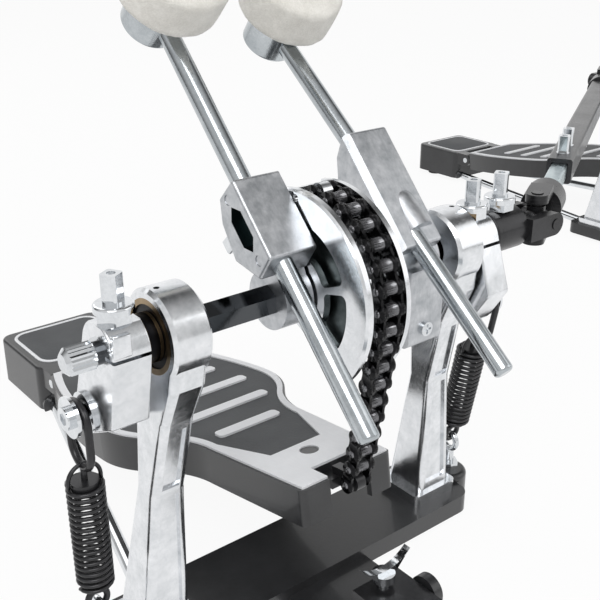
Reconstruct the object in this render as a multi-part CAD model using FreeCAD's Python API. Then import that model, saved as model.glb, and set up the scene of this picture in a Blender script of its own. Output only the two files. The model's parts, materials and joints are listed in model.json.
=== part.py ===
import FreeCAD, Part
import math
import os

os.makedirs("parts", exist_ok=True)
Vec = FreeCAD.Vector

# Whole pedal, in millimetres: X to the player's right, Y towards the drum, Z up from the floor.
# The primary pedal's axle lies over the origin.
axle_height = 168.0
post_half_spacing = 80.0
slave_half_spacing = 63.0
strike_angle = 50.0
standing_gap = 0.3
running_gap = 0.05
overrun = 1.0

# Hex axle and the sleeve that joins its two halves
hex_flats = 12.7
axle_stub = 14.7
tip_chamfer = 2.0
stub_radius = 5.8
serration_count = 20
serration_depth = 0.5
clip_groove_radius = 4.8
clip_groove_width = 2.5
journal_radius = 5.8
journal_length = 18.0
sleeve_radius = 10.0
sleeve_length = 20.0
sleeve_gap = 2.0

# Posts and their bearings
ring_radius = 20.0
ring_width = 18.0
ring_edge = 1.5
ring_bore = 9.0
oil_hole_radius = 1.3
bearing_radius = 16.0
bearing_width = 9.0
race_radius = 10.5
seal_radius = 13.6
seal_recess = 0.8
shoulder_drop = 20.0
shoulder_depth = 36.0
neck_drop = 38.0
neck_width = 16.0
neck_depth = 24.0
post_waist_width = 17.0
post_waist_depth = 15.0
post_waist_height = 92.0
post_foot_width = 24.0
post_foot_depth = 27.0
post_splay = 8.0
post_setback = 16.0
post_corner = 3.5
panel_rim = 4.2
panel_depth = 1.4
flange_margin = 4.0
flange_thickness = 6.0
post_screw_radius = 3.0
post_screw_head_radius = 4.8
post_screw_head = 3.6
post_screw_spread = 6.5
post_screw_reach = 14.0

# Base casting, rubber feet, ears for the spring anchors
foot_height = 3.0
foot_radius = 9.0
base_thickness = 11.0
base_front = 8.0
base_back = -40.0
base_corner = 8.0
ear_radius = 11.0
ear_height = 18.0
ear_round = 3.0
anchor_y = -14.0
anchor_height = 38.0
eye_radius = 5.0
eye_wire = 1.8
eye_shank_radius = 3.0
eye_shank_depth = 13.0
eye_nut_flats = 10.0
eye_nut_height = 5.0

# Hoop clamp at the front of the base
tongue_half_width = 26.0
tongue_thickness = 6.0
tongue_front = 90.0
cheek_inner = 15.0
cheek_thickness = 5.0
cheek_radius = 8.0
clamp_pin_y = 60.0
clamp_pin_height = 25.0
clamp_pin_radius = 3.0
jaw_half_width = 14.0
jaw_reach = 26.0
jaw_tail = 18.0
jaw_thickness = 9.0
jaw_lip = 3.0
wing_screw_radius = 3.0
wing_screw_lever = 12.0
wing_span = 15.0
wing_height = 12.0
wing_thickness = 4.0
wing_collar_radius = 5.5
wing_collar_height = 4.0

# Radius rods and heel plate
radius_rod_radius = 4.0
radius_rod_heel_x = 27.0
radius_rod_shift = 4.0
radius_rod_seat = 12.0
heel_front = -246.0
heel_length = 68.0
heel_half_width = 38.0
heel_height = 37.0
heel_wall = 4.0
heel_round = 8.0
heel_foot_height = 5.0
hinge_y = -236.0
hinge_height = 30.0
hinge_radius = 7.0
hinge_pin_radius = 3.0
knuckle_half_width = 22.0
lug_width = 13.0

# Footboard, measured from its heel hinge along the board
toe_pin_height = 4.6
board_heel = 9.0
board_toe = 262.0
board_heel_half = 38.0
board_belly_half = 58.0
board_toe_half = 28.0
board_belly = 118.0
board_neck = 190.0
board_neck_half = 32.0
board_depth = 19.0
board_top = 9.0
board_wall = 3.5
board_skin = 4.0
toe_notch_half = 12.5
toe_notch_depth = 14.0
trim_inset = 1.5
trim_width = 4.0
trim_height = 1.3
pad_sink = 1.5
pad_gap = 0.2
pad_crown = 0.5
pad_neck = 188.0
pad_neck_half = 27.0
pad_front = 222.0
pad_front_half = 16.0
grip_half = 40.0
grip_half_shares = (0.75, 0.925, 1.0, 0.85, 0.5)
grip_first = 60.0
grip_pitch = 30.0
grip_width = 8.0
grip_height = 1.2
bracket_half_width = 7.5
bracket_thickness = 5.0
bracket_length = 26.0
toe_hole_radius = 5.0

# Chain wheel (cam), measured about the axle
chain_radius = 43.0
chain_x = -1.0
chain_exit = -11.0
wrap_links = 8
run_links = 9
cam_rim_radius = 46.5
cam_plate = 3.5
cam_near_gap = 11.5
cam_far_gap = 7.5
cam_hub_radius = 15.0
cam_tip_angle = -46.0
cam_top_angle = 103.0
cam_wall_angle = 5.0
cam_wall_inset = 1.0
cam_floor = 4.5
cam_edge = 1.0
window_inner = 19.0
window_outer = 33.5
window_angles = ((22.0, 84.0), (-35.0, 14.5))
window_corner = 3.0
anchor_lug_half = 2.6
anchor_lug_radius = 4.4

# Roller chain
chain_pitch = 9.525
chain_roller_radius = 3.1
chain_roller_width = 7.0
chain_plate = 1.35
chain_plate_radius = 4.1
chain_waist_radius = 2.9
chain_shoulder = 50.0
chain_plate_gap = 0.15
chain_pin_radius = 1.6
chain_pin_gap = 0.1
chain_pin_head = 0.5

# Beater holders, in a frame whose Z runs up the rod
right_rod_x = 30.0
left_rod_x = -50.0
right_lean = 43.8
left_lean = 51.6
right_rod_offset = 21.6
left_rod_offset = 16.0
rod_radius = 4.75
rod_tail = 75.0
rod_top = 152.0
rod_round = 2.0
right_holder_outer = 9.5
right_holder_inner = 15.0
right_front = 28.6
right_low = 8.0
right_high = 46.5
right_crown = 14.0
right_crown_height = 45.5
right_shoulder = 7.5
right_shoulder_height = 36.5
right_back = 4.3
right_back_height = 19.5
right_heel = 15.0
right_heel_height = 5.0
right_upper_mark = 19.6
right_upper_mark_height = 41.5
right_lower_mark = 20.6
right_lower_mark_height = 11.5
left_holder_outer = 13.5
left_holder_inner = 13.0
left_front = 29.0
left_high = 59.0
left_low_front = 18.5
left_low = -4.0
left_crown = 15.5
left_crown_height = 54.0
left_shoulder = 8.0
left_shoulder_height = 46.5
left_back = 2.5
left_back_height = 35.0
left_heel = 6.5
left_heel_height = 17.0
left_foot = 11.0
left_upper_mark = 13.3
left_upper_mark_height = 29.0
left_lower_mark = 21.2
left_lower_mark_height = 17.0
right_bolt_seat = 5.0
left_bolt_seat = 2.0
holder_bevel = 3.0
boss_radius = 8.0
boss_x = -54.0
boss_low = 4.0
boss_high = 20.0
holder_round = 1.5
holder_hub_radius = 13.5
holder_gap = 1.0
slot_length = 22.0
slot_width = 9.5
slot_depth = 4.2
slot_height = 27.0
slot_shift = -1.8
mark_radius = 2.4
mark_depth = 0.4
arm_front = 17.0
arm_back = 3.0
arm_low = 40.0
arm_outer = 13.0
arm_width = 22.0
arm_round = 4.0
arm_screw_radius = 3.6
arm_screw_head = 1.6
arm_screw_height = 31.0

# Beater heads
head_height = 138.0
head_hub_radius = 14.0
head_hub_half = 10.0
head_hub_round = 1.5
felt_radius = 25.0
felt_length = 27.0
felt_crown = 5.0
felt_round = 4.0
head_nut_flats = 10.0
head_nut_height = 5.0

# Spring rockers
rocker_gap = 3.0
rocker_width = 15.5
right_rocker_gap = 6.0
right_rocker_width = 17.0
rocker_hub_radius = 13.0
rocker_end_radius = 9.5
rocker_face_angle = 14.0
rocker_face_length = 30.0
rocker_corner = 2.5
rocker_flat = 11.5
rocker_slit = 1.5
rocker_round = 1.0
stud_reach = 36.0
right_arm_angle = 25.0
left_arm_angle = -5.0
slave_arm_angle = 12.0
stud_shank_radius = 3.0
stud_shank_depth = 9.0
stud_core_radius = 3.5
stud_flange_radius = 9.0
stud_flange = 1.6
stud_groove = 5.0
stud_head_radius = 5.0
stud_head = 2.2

# Drum-key bolts: square head over a hex lock nut
key_shank_radius = 3.0
key_head = 7.0
key_corner = 1.2
key_recess_radius = 1.8
key_recess = 0.8
key_head_height = 11.0
key_collar_radius = 4.2
key_collar = 1.0
key_nut_flats = 13.0
key_nut_height = 4.0
key_flange_radius = 8.2
key_flange = 3.5
holder_bolt_height = 31.0

# Springs, with their lower hooks and upper links
spring_turns = 18
spring_radius = 7.5
spring_wire = 0.95
hook_radius = 4.6
hook_wire = 1.5
hook_stem_radius = 2.0
plug_gap = 0.35
plug_length = 5.0
hook_plug_start = 12.5
link_wire = 1.75
link_inner = 7.0
link_leg = 12.3
link_stem = 7.5
link_stem_radius = 1.4

# Universal joints and telescopic drive shaft
shaft_bend = 30.0
shaft_length = 440.0
pin_rest_angle = 0.0
yoke_collar_radius = 11.5
yoke_collar_length = 23.0
yoke_setback = 20.0
yoke_arm_inner = 9.0
yoke_arm_outer = 14.0
yoke_arm_half = 6.2
yoke_bridge = 5.0
yoke_round = 1.0
cross_core_radius = 5.0
cross_core_half = 7.5
cross_pin_radius = 3.0
cross_open_gap = 0.35
cross_pin_end = 0.5
yoke_gap = 2.0
bar_side = 10.0
bar_length = 190.0
bar_overlap = 108.0
tube_side = 16.0
tube_round = 2.0
tube_fit = 0.2
tube_screw_inset = 14.0
tube_screw_pitch = 22.0

# Shared direction vectors and the lift from the axle to the floor's frame
origin = Vec(0, 0, 0)
along_x = Vec(1, 0, 0)
along_y = Vec(0, 1, 0)
along_z = Vec(0, 0, 1)
lift = Vec(0, 0, axle_height)
base_top = foot_height + base_thickness
heel_back = heel_front - heel_length
cam_gap = cam_near_gap + cam_far_gap
hex_corner = hex_flats / math.sqrt(3)

parts = {}


def add(name, *shapes):
    parts.setdefault(name, []).extend(shapes)


def moved(shape, offset):
    copy = shape.copy()
    copy.translate(offset)
    return copy


def turned(shape, angle, centre=origin, axis=along_x):
    copy = shape.copy()
    copy.rotate(centre, axis, angle)
    return copy


def mirrored_x(shape):
    return shape.mirror(origin, along_x)


def fused(first, *others):
    return first.fuse(list(others)).removeSplitter()


def box(low, high):
    size = high - low
    return Part.makeBox(size.x, size.y, size.z, low)


def rod_x(radius, x0, x1, y=0, z=0):
    return Part.makeCylinder(radius, x1 - x0, Vec(x0, y, z), along_x)


def rod_z(radius, z0, z1, x=0, y=0):
    return Part.makeCylinder(radius, z1 - z0, Vec(x, y, z0), along_z)


def line(a, b):
    return Part.LineSegment(a, b).toShape()


def arc(a, middle, b):
    return Part.Arc(a, middle, b).toShape()


def polar(radius, angle, x=0):
    return Vec(x, radius * math.cos(math.radians(angle)), radius * math.sin(math.radians(angle)))


def face_of(edges):
    return Part.Face(Part.Wire(edges))


def polygon_face(points):
    return Part.Face(Part.makePolygon(points + points[:1]))


def hex_x(flats, x0, x1, y=0, z=0):
    corners = [Vec(x0, y, z) + polar(flats / math.sqrt(3), 60 * k + 30) for k in range(6)]
    return polygon_face(corners).extrude(Vec(x1 - x0, 0, 0))


def hex_z(flats, z0, z1, x=0, y=0):
    corners = []
    for k in range(6):
        angle = math.radians(60 * k)
        corners.append(Vec(x, y, z0) + Vec(math.cos(angle), math.sin(angle), 0) * (flats / math.sqrt(3)))
    return polygon_face(corners).extrude(Vec(0, 0, z1 - z0))


def rounded_rectangle(x, y, z, width, depth, corner):
    # wire in a level plane, with round corners
    half_w = width / 2
    half_d = depth / 2
    slant = corner * (1 - math.sqrt(0.5))
    edges = []
    for sx, sy in ((1, 1), (-1, 1), (-1, -1), (1, -1)):
        tip_x = Vec(x + sx * half_w, y + sy * (half_d - corner), z)
        tip_y = Vec(x + sx * (half_w - corner), y + sy * half_d, z)
        middle = Vec(x + sx * (half_w - slant), y + sy * (half_d - slant), z)
        first, last = (tip_x, tip_y) if sx == sy else (tip_y, tip_x)
        if edges:
            edges.append(line(edges[-1].Vertexes[-1].Point, first))
        edges.append(arc(first, middle, last))
    edges.append(line(edges[-1].Vertexes[-1].Point, edges[0].Vertexes[0].Point))
    return Part.Wire(edges)


def column(sections):
    return Part.makeLoft([rounded_rectangle(*section) for section in sections], True, True)


def edges_across_x(shape, *stations):
    # edges that lie in one of the planes X = station
    found = []
    for edge in shape.Edges:
        bounds = edge.BoundBox
        if bounds.XLength < standing_gap and any(abs(bounds.XMin - x) < standing_gap for x in stations):
            found.append(edge)
    return found


def edges_above(shape, level):
    return [edge for edge in shape.Edges if edge.BoundBox.ZMin > level]


def straight_edges_along(shape, axis):
    return [edge for edge in shape.Edges
            if isinstance(edge.Curve, Part.Line) and abs(abs(edge.Curve.Direction.dot(axis)) - 1) < 1e-6]


def framed(shape, centre, x_dir, z_dir):
    # carries a shape from its own frame to one with the given X and Z directions
    y_dir = z_dir.cross(x_dir)
    place = FreeCAD.Placement(centre, FreeCAD.Rotation(x_dir, y_dir, z_dir, "ZXY"))
    copy = shape.copy()
    copy.Placement = place.multiply(copy.Placement)
    return copy


# Post: a wide bearing ring on a tapering column that splays out and leans forward


def panel(upper, lower, top, bottom):
    # shallow recess in the column's front, between two of its sections
    corners = []
    for z, order in ((top, (-1, 1)), (bottom, (1, -1))):
        share = (z - lower[2]) / (upper[2] - lower[2])
        x, y, level, width, depth, corner = [a + (b - a) * share for a, b in zip(lower, upper)]
        corners += [Vec(x + side * (width / 2 - panel_rim), y + depth / 2 + overrun, z) for side in order]
    return polygon_face(corners).extrude(Vec(0, -panel_depth - overrun, 0))


def post_section(half_spacing, drop, width, depth):
    share = drop / (axle_height - base_top)
    return (half_spacing + post_splay * share, -post_setback * share, axle_height - drop,
            width, depth, post_corner)


def post_flange(x, top, margin):
    width = post_foot_width + 2 * (flange_margin + margin)
    depth = post_foot_depth + flange_margin + 2 * margin
    return column([(x, -post_setback, z, width, depth, post_corner) for z in (base_top, top)])


def post(side, half_spacing):
    top_width = ring_width - overrun
    foot_x = half_spacing + post_splay
    sections = [post_section(half_spacing, 0, top_width, 2 * (ring_radius - ring_edge)),
                post_section(half_spacing, shoulder_drop, top_width, shoulder_depth),
                post_section(half_spacing, neck_drop, neck_width, neck_depth),
                post_section(half_spacing, axle_height - post_waist_height, post_waist_width, post_waist_depth),
                post_section(half_spacing, axle_height - base_top, post_foot_width, post_foot_depth)]
    shaft = column(sections)
    upper_top = axle_height - neck_drop - panel_rim
    lower_end = base_top + 2 * flange_thickness
    panels = [panel(sections[2], sections[3], upper_top, post_waist_height + panel_rim / 2),
              panel(sections[3], sections[4], post_waist_height - panel_rim / 2, lower_end)]
    ring = rod_x(ring_radius, half_spacing - ring_width / 2, half_spacing + ring_width / 2, 0, axle_height)
    ring = ring.makeChamfer(ring_edge, edges_across_x(ring, *station_pair(half_spacing, ring_width)))
    flange = post_flange(foot_x, base_top + flange_thickness, 0)
    body = fused(shaft, ring, flange).cut(panels)
    bore = rod_x(ring_bore, half_spacing - ring_width, half_spacing + ring_width, 0, axle_height)
    seat_end = half_spacing + ring_width / 2
    seat = rod_x(bearing_radius, seat_end - bearing_width, seat_end + overrun, 0, axle_height)
    oil_x = seat_end - bearing_width / 2
    oil = rod_z(oil_hole_radius, axle_height + seal_radius, axle_height + ring_radius + overrun, oil_x)
    screws = [rod_z(post_screw_radius, base_top - overrun, base_top + post_screw_reach, x, y)
              for x, y in post_screw_places(half_spacing)]
    body = body.cut([bore, seat, oil] + screws)
    return body if side > 0 else mirrored_x(body)


def station_pair(centre, width):
    return centre - width / 2, centre + width / 2


def post_screw_places(half_spacing):
    foot_x = half_spacing + post_splay
    return [(foot_x + sign * post_screw_spread, -post_setback) for sign in (-1, 1)]


def post_screw(x, y):
    # screw from under the base into the post's foot
    low = foot_height + standing_gap
    shank = rod_z(post_screw_radius, low, base_top + post_screw_reach, x, y)
    head = rod_z(post_screw_head_radius, low, low + post_screw_head, x, y)
    socket = hex_z(post_screw_radius * math.sqrt(3), low - overrun, low + post_screw_head / 2, x, y)
    return fused(shank, head).cut(socket)


def outer_race(side, half_spacing):
    outer = half_spacing + ring_width / 2
    ring = rod_x(bearing_radius, outer - bearing_width, outer, 0, axle_height)
    hole = rod_x(race_radius + running_gap, outer - bearing_width - overrun, outer + overrun, 0, axle_height)
    recess = rod_x(seal_radius, outer - seal_recess, outer + overrun, 0, axle_height)
    race = ring.cut([hole, recess])
    return race if side > 0 else mirrored_x(race)


def inner_race(side, half_spacing, gap):
    # the race runs on as a sleeve towards the piece that is gap away from the post
    outer = half_spacing + ring_width / 2
    end = outer + gap - standing_gap
    ring = rod_x(race_radius, outer - bearing_width, end, 0, axle_height)
    bore = hex_x(hex_flats, outer - bearing_width - overrun, end + overrun, 0, axle_height)
    race = ring.cut(bore)
    return race if side > 0 else mirrored_x(race)


# Base casting: a bar under the posts with one ear for each spring anchor


def base(half_spacing, ear_stations, clamp):
    half = half_spacing + post_splay + post_foot_width / 2 + flange_margin + base_corner / 2
    middle = (base_front + base_back) / 2
    depth = base_front - base_back
    body = column([(0, middle, z, 2 * half, depth, base_corner) for z in (foot_height, base_top)])
    cuts = []
    for x in ear_stations:
        ear = rod_z(ear_radius, foot_height, ear_height, x, anchor_y)
        ear = ear.makeFillet(ear_round, edges_above(ear, ear_height - overrun))
        inner = half - ear_radius if x > 0 else -half + ear_radius
        arm = box(Vec(min(x, inner), anchor_y - ear_radius, foot_height),
                  Vec(max(x, inner), anchor_y + ear_radius, base_top))
        body = fused(body, ear, arm)
        cuts.append(rod_z(eye_shank_radius, ear_height - eye_shank_depth, ear_height + overrun, x, anchor_y))
    for side in (-1, 1):
        for x, y in post_screw_places(half_spacing):
            cuts.append(rod_z(post_screw_radius, foot_height - overrun, base_top + overrun, side * x, y))
            recess = foot_height + standing_gap + post_screw_head
            recess_radius = post_screw_head_radius + standing_gap
            cuts.append(rod_z(recess_radius, foot_height - overrun, recess, side * x, y))
        cuts.append(radius_rod(half_spacing, side, radius_rod_radius))
        # the ears make room for the feet of the posts
        cuts.append(post_flange(side * (half_spacing + post_splay), base_top + ear_height, standing_gap))
    if clamp:
        tongue = box(Vec(-tongue_half_width, base_front - base_corner, foot_height),
                     Vec(tongue_half_width, tongue_front, foot_height + tongue_thickness))
        tongue = tongue.makeFillet(base_corner / 2, [edge for edge in straight_edges_along(tongue, along_z)
                                                     if edge.BoundBox.YMin > base_front])
        body = fused(body, tongue)
        for side in (-1, 1):
            x0, x1 = sorted((side * cheek_inner, side * (cheek_inner + cheek_thickness)))
            cheek = rod_x(cheek_radius, x0, x1, clamp_pin_y, clamp_pin_height)
            foot = box(Vec(x0, clamp_pin_y - cheek_radius, foot_height),
                       Vec(x1, clamp_pin_y + cheek_radius, clamp_pin_height))
            body = fused(body, cheek, foot)
        cuts.append(rod_x(clamp_pin_radius, -tongue_half_width, tongue_half_width,
                          clamp_pin_y, clamp_pin_height))
    return body.cut(cuts).removeSplitter()


def rod_level():
    return foot_height + base_thickness / 2


def feet(half_spacing, clamp):
    front = base_front - foot_radius - foot_height
    back = base_back + foot_radius + foot_height
    places = [(side * (half_spacing + post_splay), front) for side in (-1, 0, 1)]
    places += [(side * (half_spacing + post_splay), back) for side in (-1, 1)]
    pads = [rod_z(foot_radius, 0, foot_height, x, y) for x, y in places]
    if clamp:
        pads.append(rod_z(foot_radius, 0, foot_height, 0, tongue_front - foot_radius - foot_height))
    inset = heel_round + foot_radius
    for x in (-heel_half_width + inset, heel_half_width - inset):
        pads.append(rod_z(foot_radius, 0, heel_foot_height, x, heel_back + inset))
    return pads


def eye_bolt(x):
    centre = Vec(x, anchor_y, anchor_height - (eye_radius - eye_wire - hook_wire - standing_gap))
    eye = Part.makeTorus(eye_radius, eye_wire, centre, along_x)
    low = ear_height - eye_shank_depth
    shank = rod_z(eye_shank_radius, low, centre.z - eye_radius, x, anchor_y)
    nut = hex_z(eye_nut_flats, ear_height, ear_height + eye_nut_height, x, anchor_y)
    return fused(eye, shank, nut)


# Hoop clamp: a rocking jaw with a wing screw in its tail


def clamp_jaw():
    y, z = clamp_pin_y, clamp_pin_height
    low = z - jaw_thickness / 2
    high = z + jaw_thickness / 2
    profile = [Vec(-jaw_half_width, y - jaw_tail, low), Vec(-jaw_half_width, y + jaw_reach, low),
               Vec(-jaw_half_width, y + jaw_reach, high - jaw_lip), Vec(-jaw_half_width, y + jaw_tail, high),
               Vec(-jaw_half_width, y - jaw_tail, high)]
    body = polygon_face(profile).extrude(Vec(2 * jaw_half_width, 0, 0))
    lip = rod_x(jaw_lip, -jaw_half_width, jaw_half_width, y + jaw_reach - jaw_lip, low)
    body = fused(body, lip)
    bore = rod_x(clamp_pin_radius + running_gap, -jaw_half_width - overrun, jaw_half_width + overrun, y, z)
    screw = rod_z(wing_screw_radius + running_gap, low - overrun, high + overrun, 0, y - wing_screw_lever)
    return body.cut([bore, screw])


def wing_screw():
    y = clamp_pin_y - wing_screw_lever
    top = clamp_pin_height + jaw_thickness / 2 + standing_gap + jaw_lip
    shank = rod_z(wing_screw_radius, foot_height + tongue_thickness + standing_gap, top, 0, y)
    collar = rod_z(wing_collar_radius, top, top + wing_collar_height, 0, y)
    base_z = top + wing_collar_height / 2
    wing_top = top + wing_height
    low_left, low_right = [Vec(side * wing_collar_radius, y, base_z) for side in (-1, 1)]
    top_left, top_right = [Vec(side * wing_span, y, wing_top) for side in (-1, 1)]
    dip = Vec(0, y, base_z + wing_collar_height)
    wings = face_of([line(low_left, low_right), line(low_right, top_right),
                     arc(top_right, dip, top_left), line(top_left, low_left)])
    blade = moved(wings.extrude(Vec(0, wing_thickness, 0)), Vec(0, -wing_thickness / 2, 0))
    return fused(shank, collar, blade)


# Heel plate: a hollow cast shoe with two hinge lugs


def heel_plate(half_spacing):
    middle = (heel_front + heel_back) / 2
    depth = heel_front - heel_back
    body = column([(0, middle, z, 2 * heel_half_width, depth, heel_round)
                   for z in (heel_foot_height, heel_height)])
    body = body.makeFillet(heel_wall / 2, edges_above(body, heel_height - overrun))
    inner_half = heel_half_width - heel_wall
    hollow = column([(0, middle, z, 2 * inner_half, depth - 2 * heel_wall, heel_round - heel_wall)
                     for z in (heel_foot_height - overrun, heel_height - heel_wall)])
    body = body.cut(hollow)
    lugs = []
    bosses = []
    bores = []
    for side in (-1, 1):
        x0 = knuckle_half_width + standing_gap
        x0, x1 = sorted((side * x0, side * (x0 + lug_width)))
        barrel = rod_x(hinge_radius, x0, x1, hinge_y, hinge_height)
        web = box(Vec(x0, heel_front - heel_wall, hinge_height - hinge_radius),
                  Vec(x1, hinge_y, hinge_height + hinge_radius))
        lugs += [barrel, web]
        bosses.append(radius_rod(half_spacing, side, radius_rod_radius + heel_wall))
        bores.append(radius_rod(half_spacing, side, radius_rod_radius))
    for x in (-heel_half_width + heel_round + foot_radius, heel_half_width - heel_round - foot_radius):
        bosses.append(rod_z(foot_radius, heel_foot_height, heel_height - heel_wall,
                            x, heel_back + heel_round + foot_radius))
    trimmed = [boss.common(box(Vec(-heel_half_width, heel_back, heel_foot_height),
                               Vec(heel_half_width, heel_front, heel_height - heel_wall))) for boss in bosses]
    bores.append(rod_x(hinge_pin_radius, -heel_half_width, heel_half_width, hinge_y, hinge_height))
    return fused(body, *lugs, *trimmed).cut(bores)


def radius_rod(half_spacing, side, radius):
    # rods spread from the heel plate to the feet of the posts
    heel_end = Vec(side * radius_rod_heel_x, heel_front - radius_rod_seat, rod_level())
    base_end = Vec(side * (half_spacing + radius_rod_shift), base_back + radius_rod_seat, rod_level())
    return Part.makeCylinder(radius, (base_end - heel_end).Length, heel_end, base_end - heel_end)


def radius_rods(half_spacing):
    return [radius_rod(half_spacing, side, radius_rod_radius) for side in (-1, 1)]


def heel_pin():
    reach = knuckle_half_width + standing_gap + lug_width
    return rod_x(hinge_pin_radius, -reach, reach, hinge_y, hinge_height)


# Footboard: a deep cast tray with bellied sides; flat here, then raised about its hinge


def short_arc(centre, a, b):
    # arc from a to b about a centre, the short way round
    middle = ((a - centre) + (b - centre)).normalize() * (a - centre).Length
    return arc(a, centre + middle, b)


def board_side(inset, level):
    # right edge from heel to toe: out to the belly, in to the neck, then straight
    heel = Vec(board_heel_half - inset, board_heel + inset, level)
    belly = Vec(board_belly_half - inset, board_belly, level)
    neck = Vec(board_neck_half - inset, board_neck, level)
    toe = Vec(board_toe_half - inset, board_toe - inset, level)
    swell = belly.x - heel.x
    heel_radius = (swell ** 2 + (belly.y - heel.y) ** 2) / (2 * swell)
    narrowing = belly.x - neck.x
    radius = (narrowing ** 2 + (neck.y - belly.y) ** 2) / (4 * narrowing)
    turn = (belly + neck) * 0.5
    return [short_arc(belly - Vec(heel_radius, 0, 0), heel, belly),
            short_arc(belly - Vec(radius, 0, 0), belly, turn),
            short_arc(neck + Vec(radius, 0, 0), turn, neck),
            line(neck, toe)]


def board_outline(inset, level):
    right = board_side(inset, level)
    left = [mirrored_x(edge) for edge in right]
    heel = [edges[0].Vertexes[0].Point for edges in (right, left)]
    toe = [edges[-1].Vertexes[-1].Point for edges in (right, left)]
    toe_left = Vec(-toe[0].x, toe[0].y, level)
    heel_left = Vec(-heel[0].x, heel[0].y, level)
    edges = right + left + [line(toe[0], toe_left), line(heel_left, heel[0])]
    return face_of(Part.__sortEdges__(edges))


def pad_blank(inset, level, height):
    # the board's outline drawn in at the front, where the bare toe plate begins
    half = board_belly_half
    front = pad_front - inset
    shoulder = (board_belly + pad_neck) / 2
    points = [Vec(half, 0, level), Vec(half, shoulder, level), Vec(pad_neck_half - inset, pad_neck, level),
              Vec(pad_front_half - inset, front, level), Vec(-pad_front_half + inset, front, level),
              Vec(-pad_neck_half + inset, pad_neck, level), Vec(-half, shoulder, level), Vec(-half, 0, level)]
    field = polygon_face(points).extrude(Vec(0, 0, height))
    return board_outline(trim_inset + trim_width + inset, level).extrude(Vec(0, 0, height)).common(field)


def board_rise():
    # the board stands so that the chain's last pin lies at its own height over the hinge line
    place = toe_pin() + lift - Vec(0, hinge_y, hinge_height)
    reach = math.hypot(place.y, place.z)
    return math.degrees(math.atan2(place.z, place.y) - math.asin(toe_pin_height / reach))


def raised(shape):
    return moved(turned(shape, board_rise()), Vec(0, hinge_y, hinge_height))


def notch(margin, low, high):
    half = toe_notch_half + margin
    return box(Vec(chain_x - half, board_toe - toe_notch_depth - margin, low),
               Vec(chain_x + half, board_toe + overrun, high))


def footboard():
    low = board_top - board_depth
    tray = board_outline(0, low).extrude(Vec(0, 0, board_depth))
    corners = [edge for edge in straight_edges_along(tray, along_z)
               if edge.BoundBox.YMin < board_heel + overrun or edge.BoundBox.YMax > board_toe - overrun]
    tray = tray.makeFillet(board_wall, corners)
    hollow = board_outline(board_wall, low - overrun).extrude(Vec(0, 0, board_depth - board_skin + overrun))
    pocket = pad_blank(0, board_top - pad_sink, pad_sink + overrun)
    knuckle = rod_x(hinge_radius, -knuckle_half_width, knuckle_half_width)
    web = box(Vec(-knuckle_half_width, 0, -hinge_radius / 2),
              Vec(knuckle_half_width, board_heel + board_wall, hinge_radius))
    pin_hole = rod_x(hinge_pin_radius + running_gap, -board_belly_half, board_belly_half)
    tray = tray.cut([hollow, pocket, notch(0, low - overrun, board_top + overrun)])
    sweep = rod_x(hinge_radius + standing_gap, -board_belly_half, board_belly_half)
    tray = tray.cut(sweep)
    bolt_hole = rod_z(key_shank_radius, low, board_top + overrun, chain_x, bracket_bolt_y())
    return fused(tray, knuckle, web).cut([pin_hole, bolt_hole])


def footboard_trim():
    rim = board_outline(trim_inset, board_top).extrude(Vec(0, 0, trim_height))
    inner = pad_blank(0, board_top - overrun, trim_height + 2 * overrun)
    hole = rod_z(toe_hole_radius, board_top - overrun, board_top + board_depth, chain_x, bracket_bolt_y())
    rim = rim.cut([inner, notch(0, board_top - overrun, board_top + board_depth), hole])
    bars = []
    top = board_top + pad_crown
    for k, share in enumerate(grip_half_shares):
        half = grip_half * share
        y = grip_first + k * grip_pitch
        bar = box(Vec(-half, y - grip_width / 2, top), Vec(half, y + grip_width / 2, top + grip_height))
        bars.append(bar.makeFillet(grip_width / 3, straight_edges_along(bar, along_z)))
    return [rim] + bars


def footboard_pad():
    return pad_blank(pad_gap, board_top - pad_sink, pad_sink + pad_crown)


def toe_pin():
    # where the last chain pin lies, about the axle
    tangent = polar(chain_radius, chain_exit, chain_x)
    return tangent + chain_direction() * (run_links * chain_pitch)


def chain_direction():
    angle = math.radians(chain_exit)
    return Vec(0, math.sin(angle), -math.cos(angle))


def toe_pin_on_board():
    # the same pin in the flat board's own frame
    place = toe_pin() + lift - Vec(0, hinge_y, hinge_height)
    rotation = FreeCAD.Rotation(along_x, -board_rise())
    return rotation.multVec(place)


def chain_bracket():
    pin = toe_pin_on_board()
    back = board_toe - toe_notch_depth - board_wall - bracket_length
    top = board_top - board_skin
    plate = box(Vec(chain_x - bracket_half_width, back, top - bracket_thickness),
                Vec(chain_x + bracket_half_width, pin.y - 2 * anchor_lug_radius, top))
    half = anchor_lug_half
    tongue_start = pin.y - 2 * anchor_lug_radius - bracket_thickness
    tongue = box(Vec(chain_x - half, tongue_start, top - bracket_thickness),
                 Vec(chain_x + half, pin.y, pin.z + anchor_lug_radius))
    nose = rod_x(anchor_lug_radius, chain_x - half, chain_x + half, pin.y, pin.z)
    clear = rod_x(chain_pin_radius + chain_pin_gap, chain_x - bracket_half_width,
                  chain_x + bracket_half_width, pin.y, pin.z)
    hole = rod_z(key_shank_radius, top - 2 * bracket_thickness, board_top, chain_x, bracket_bolt_y())
    return fused(plate, tongue, nose).cut([clear, hole])


def bracket_bolt_y():
    return board_toe - toe_notch_depth - board_wall - bracket_length / 2


def bracket_bolt():
    bolt_y = bracket_bolt_y()
    shank = rod_z(key_shank_radius, board_top - board_skin - bracket_thickness, board_top, chain_x, bolt_y)
    head = rod_z(toe_hole_radius - standing_gap, board_top, board_top + trim_height / 2, chain_x, bolt_y)
    return fused(shank, head)


# Cam: two rim plates with windows, a floor for the chain, a hub and a lug for the first pin


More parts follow.
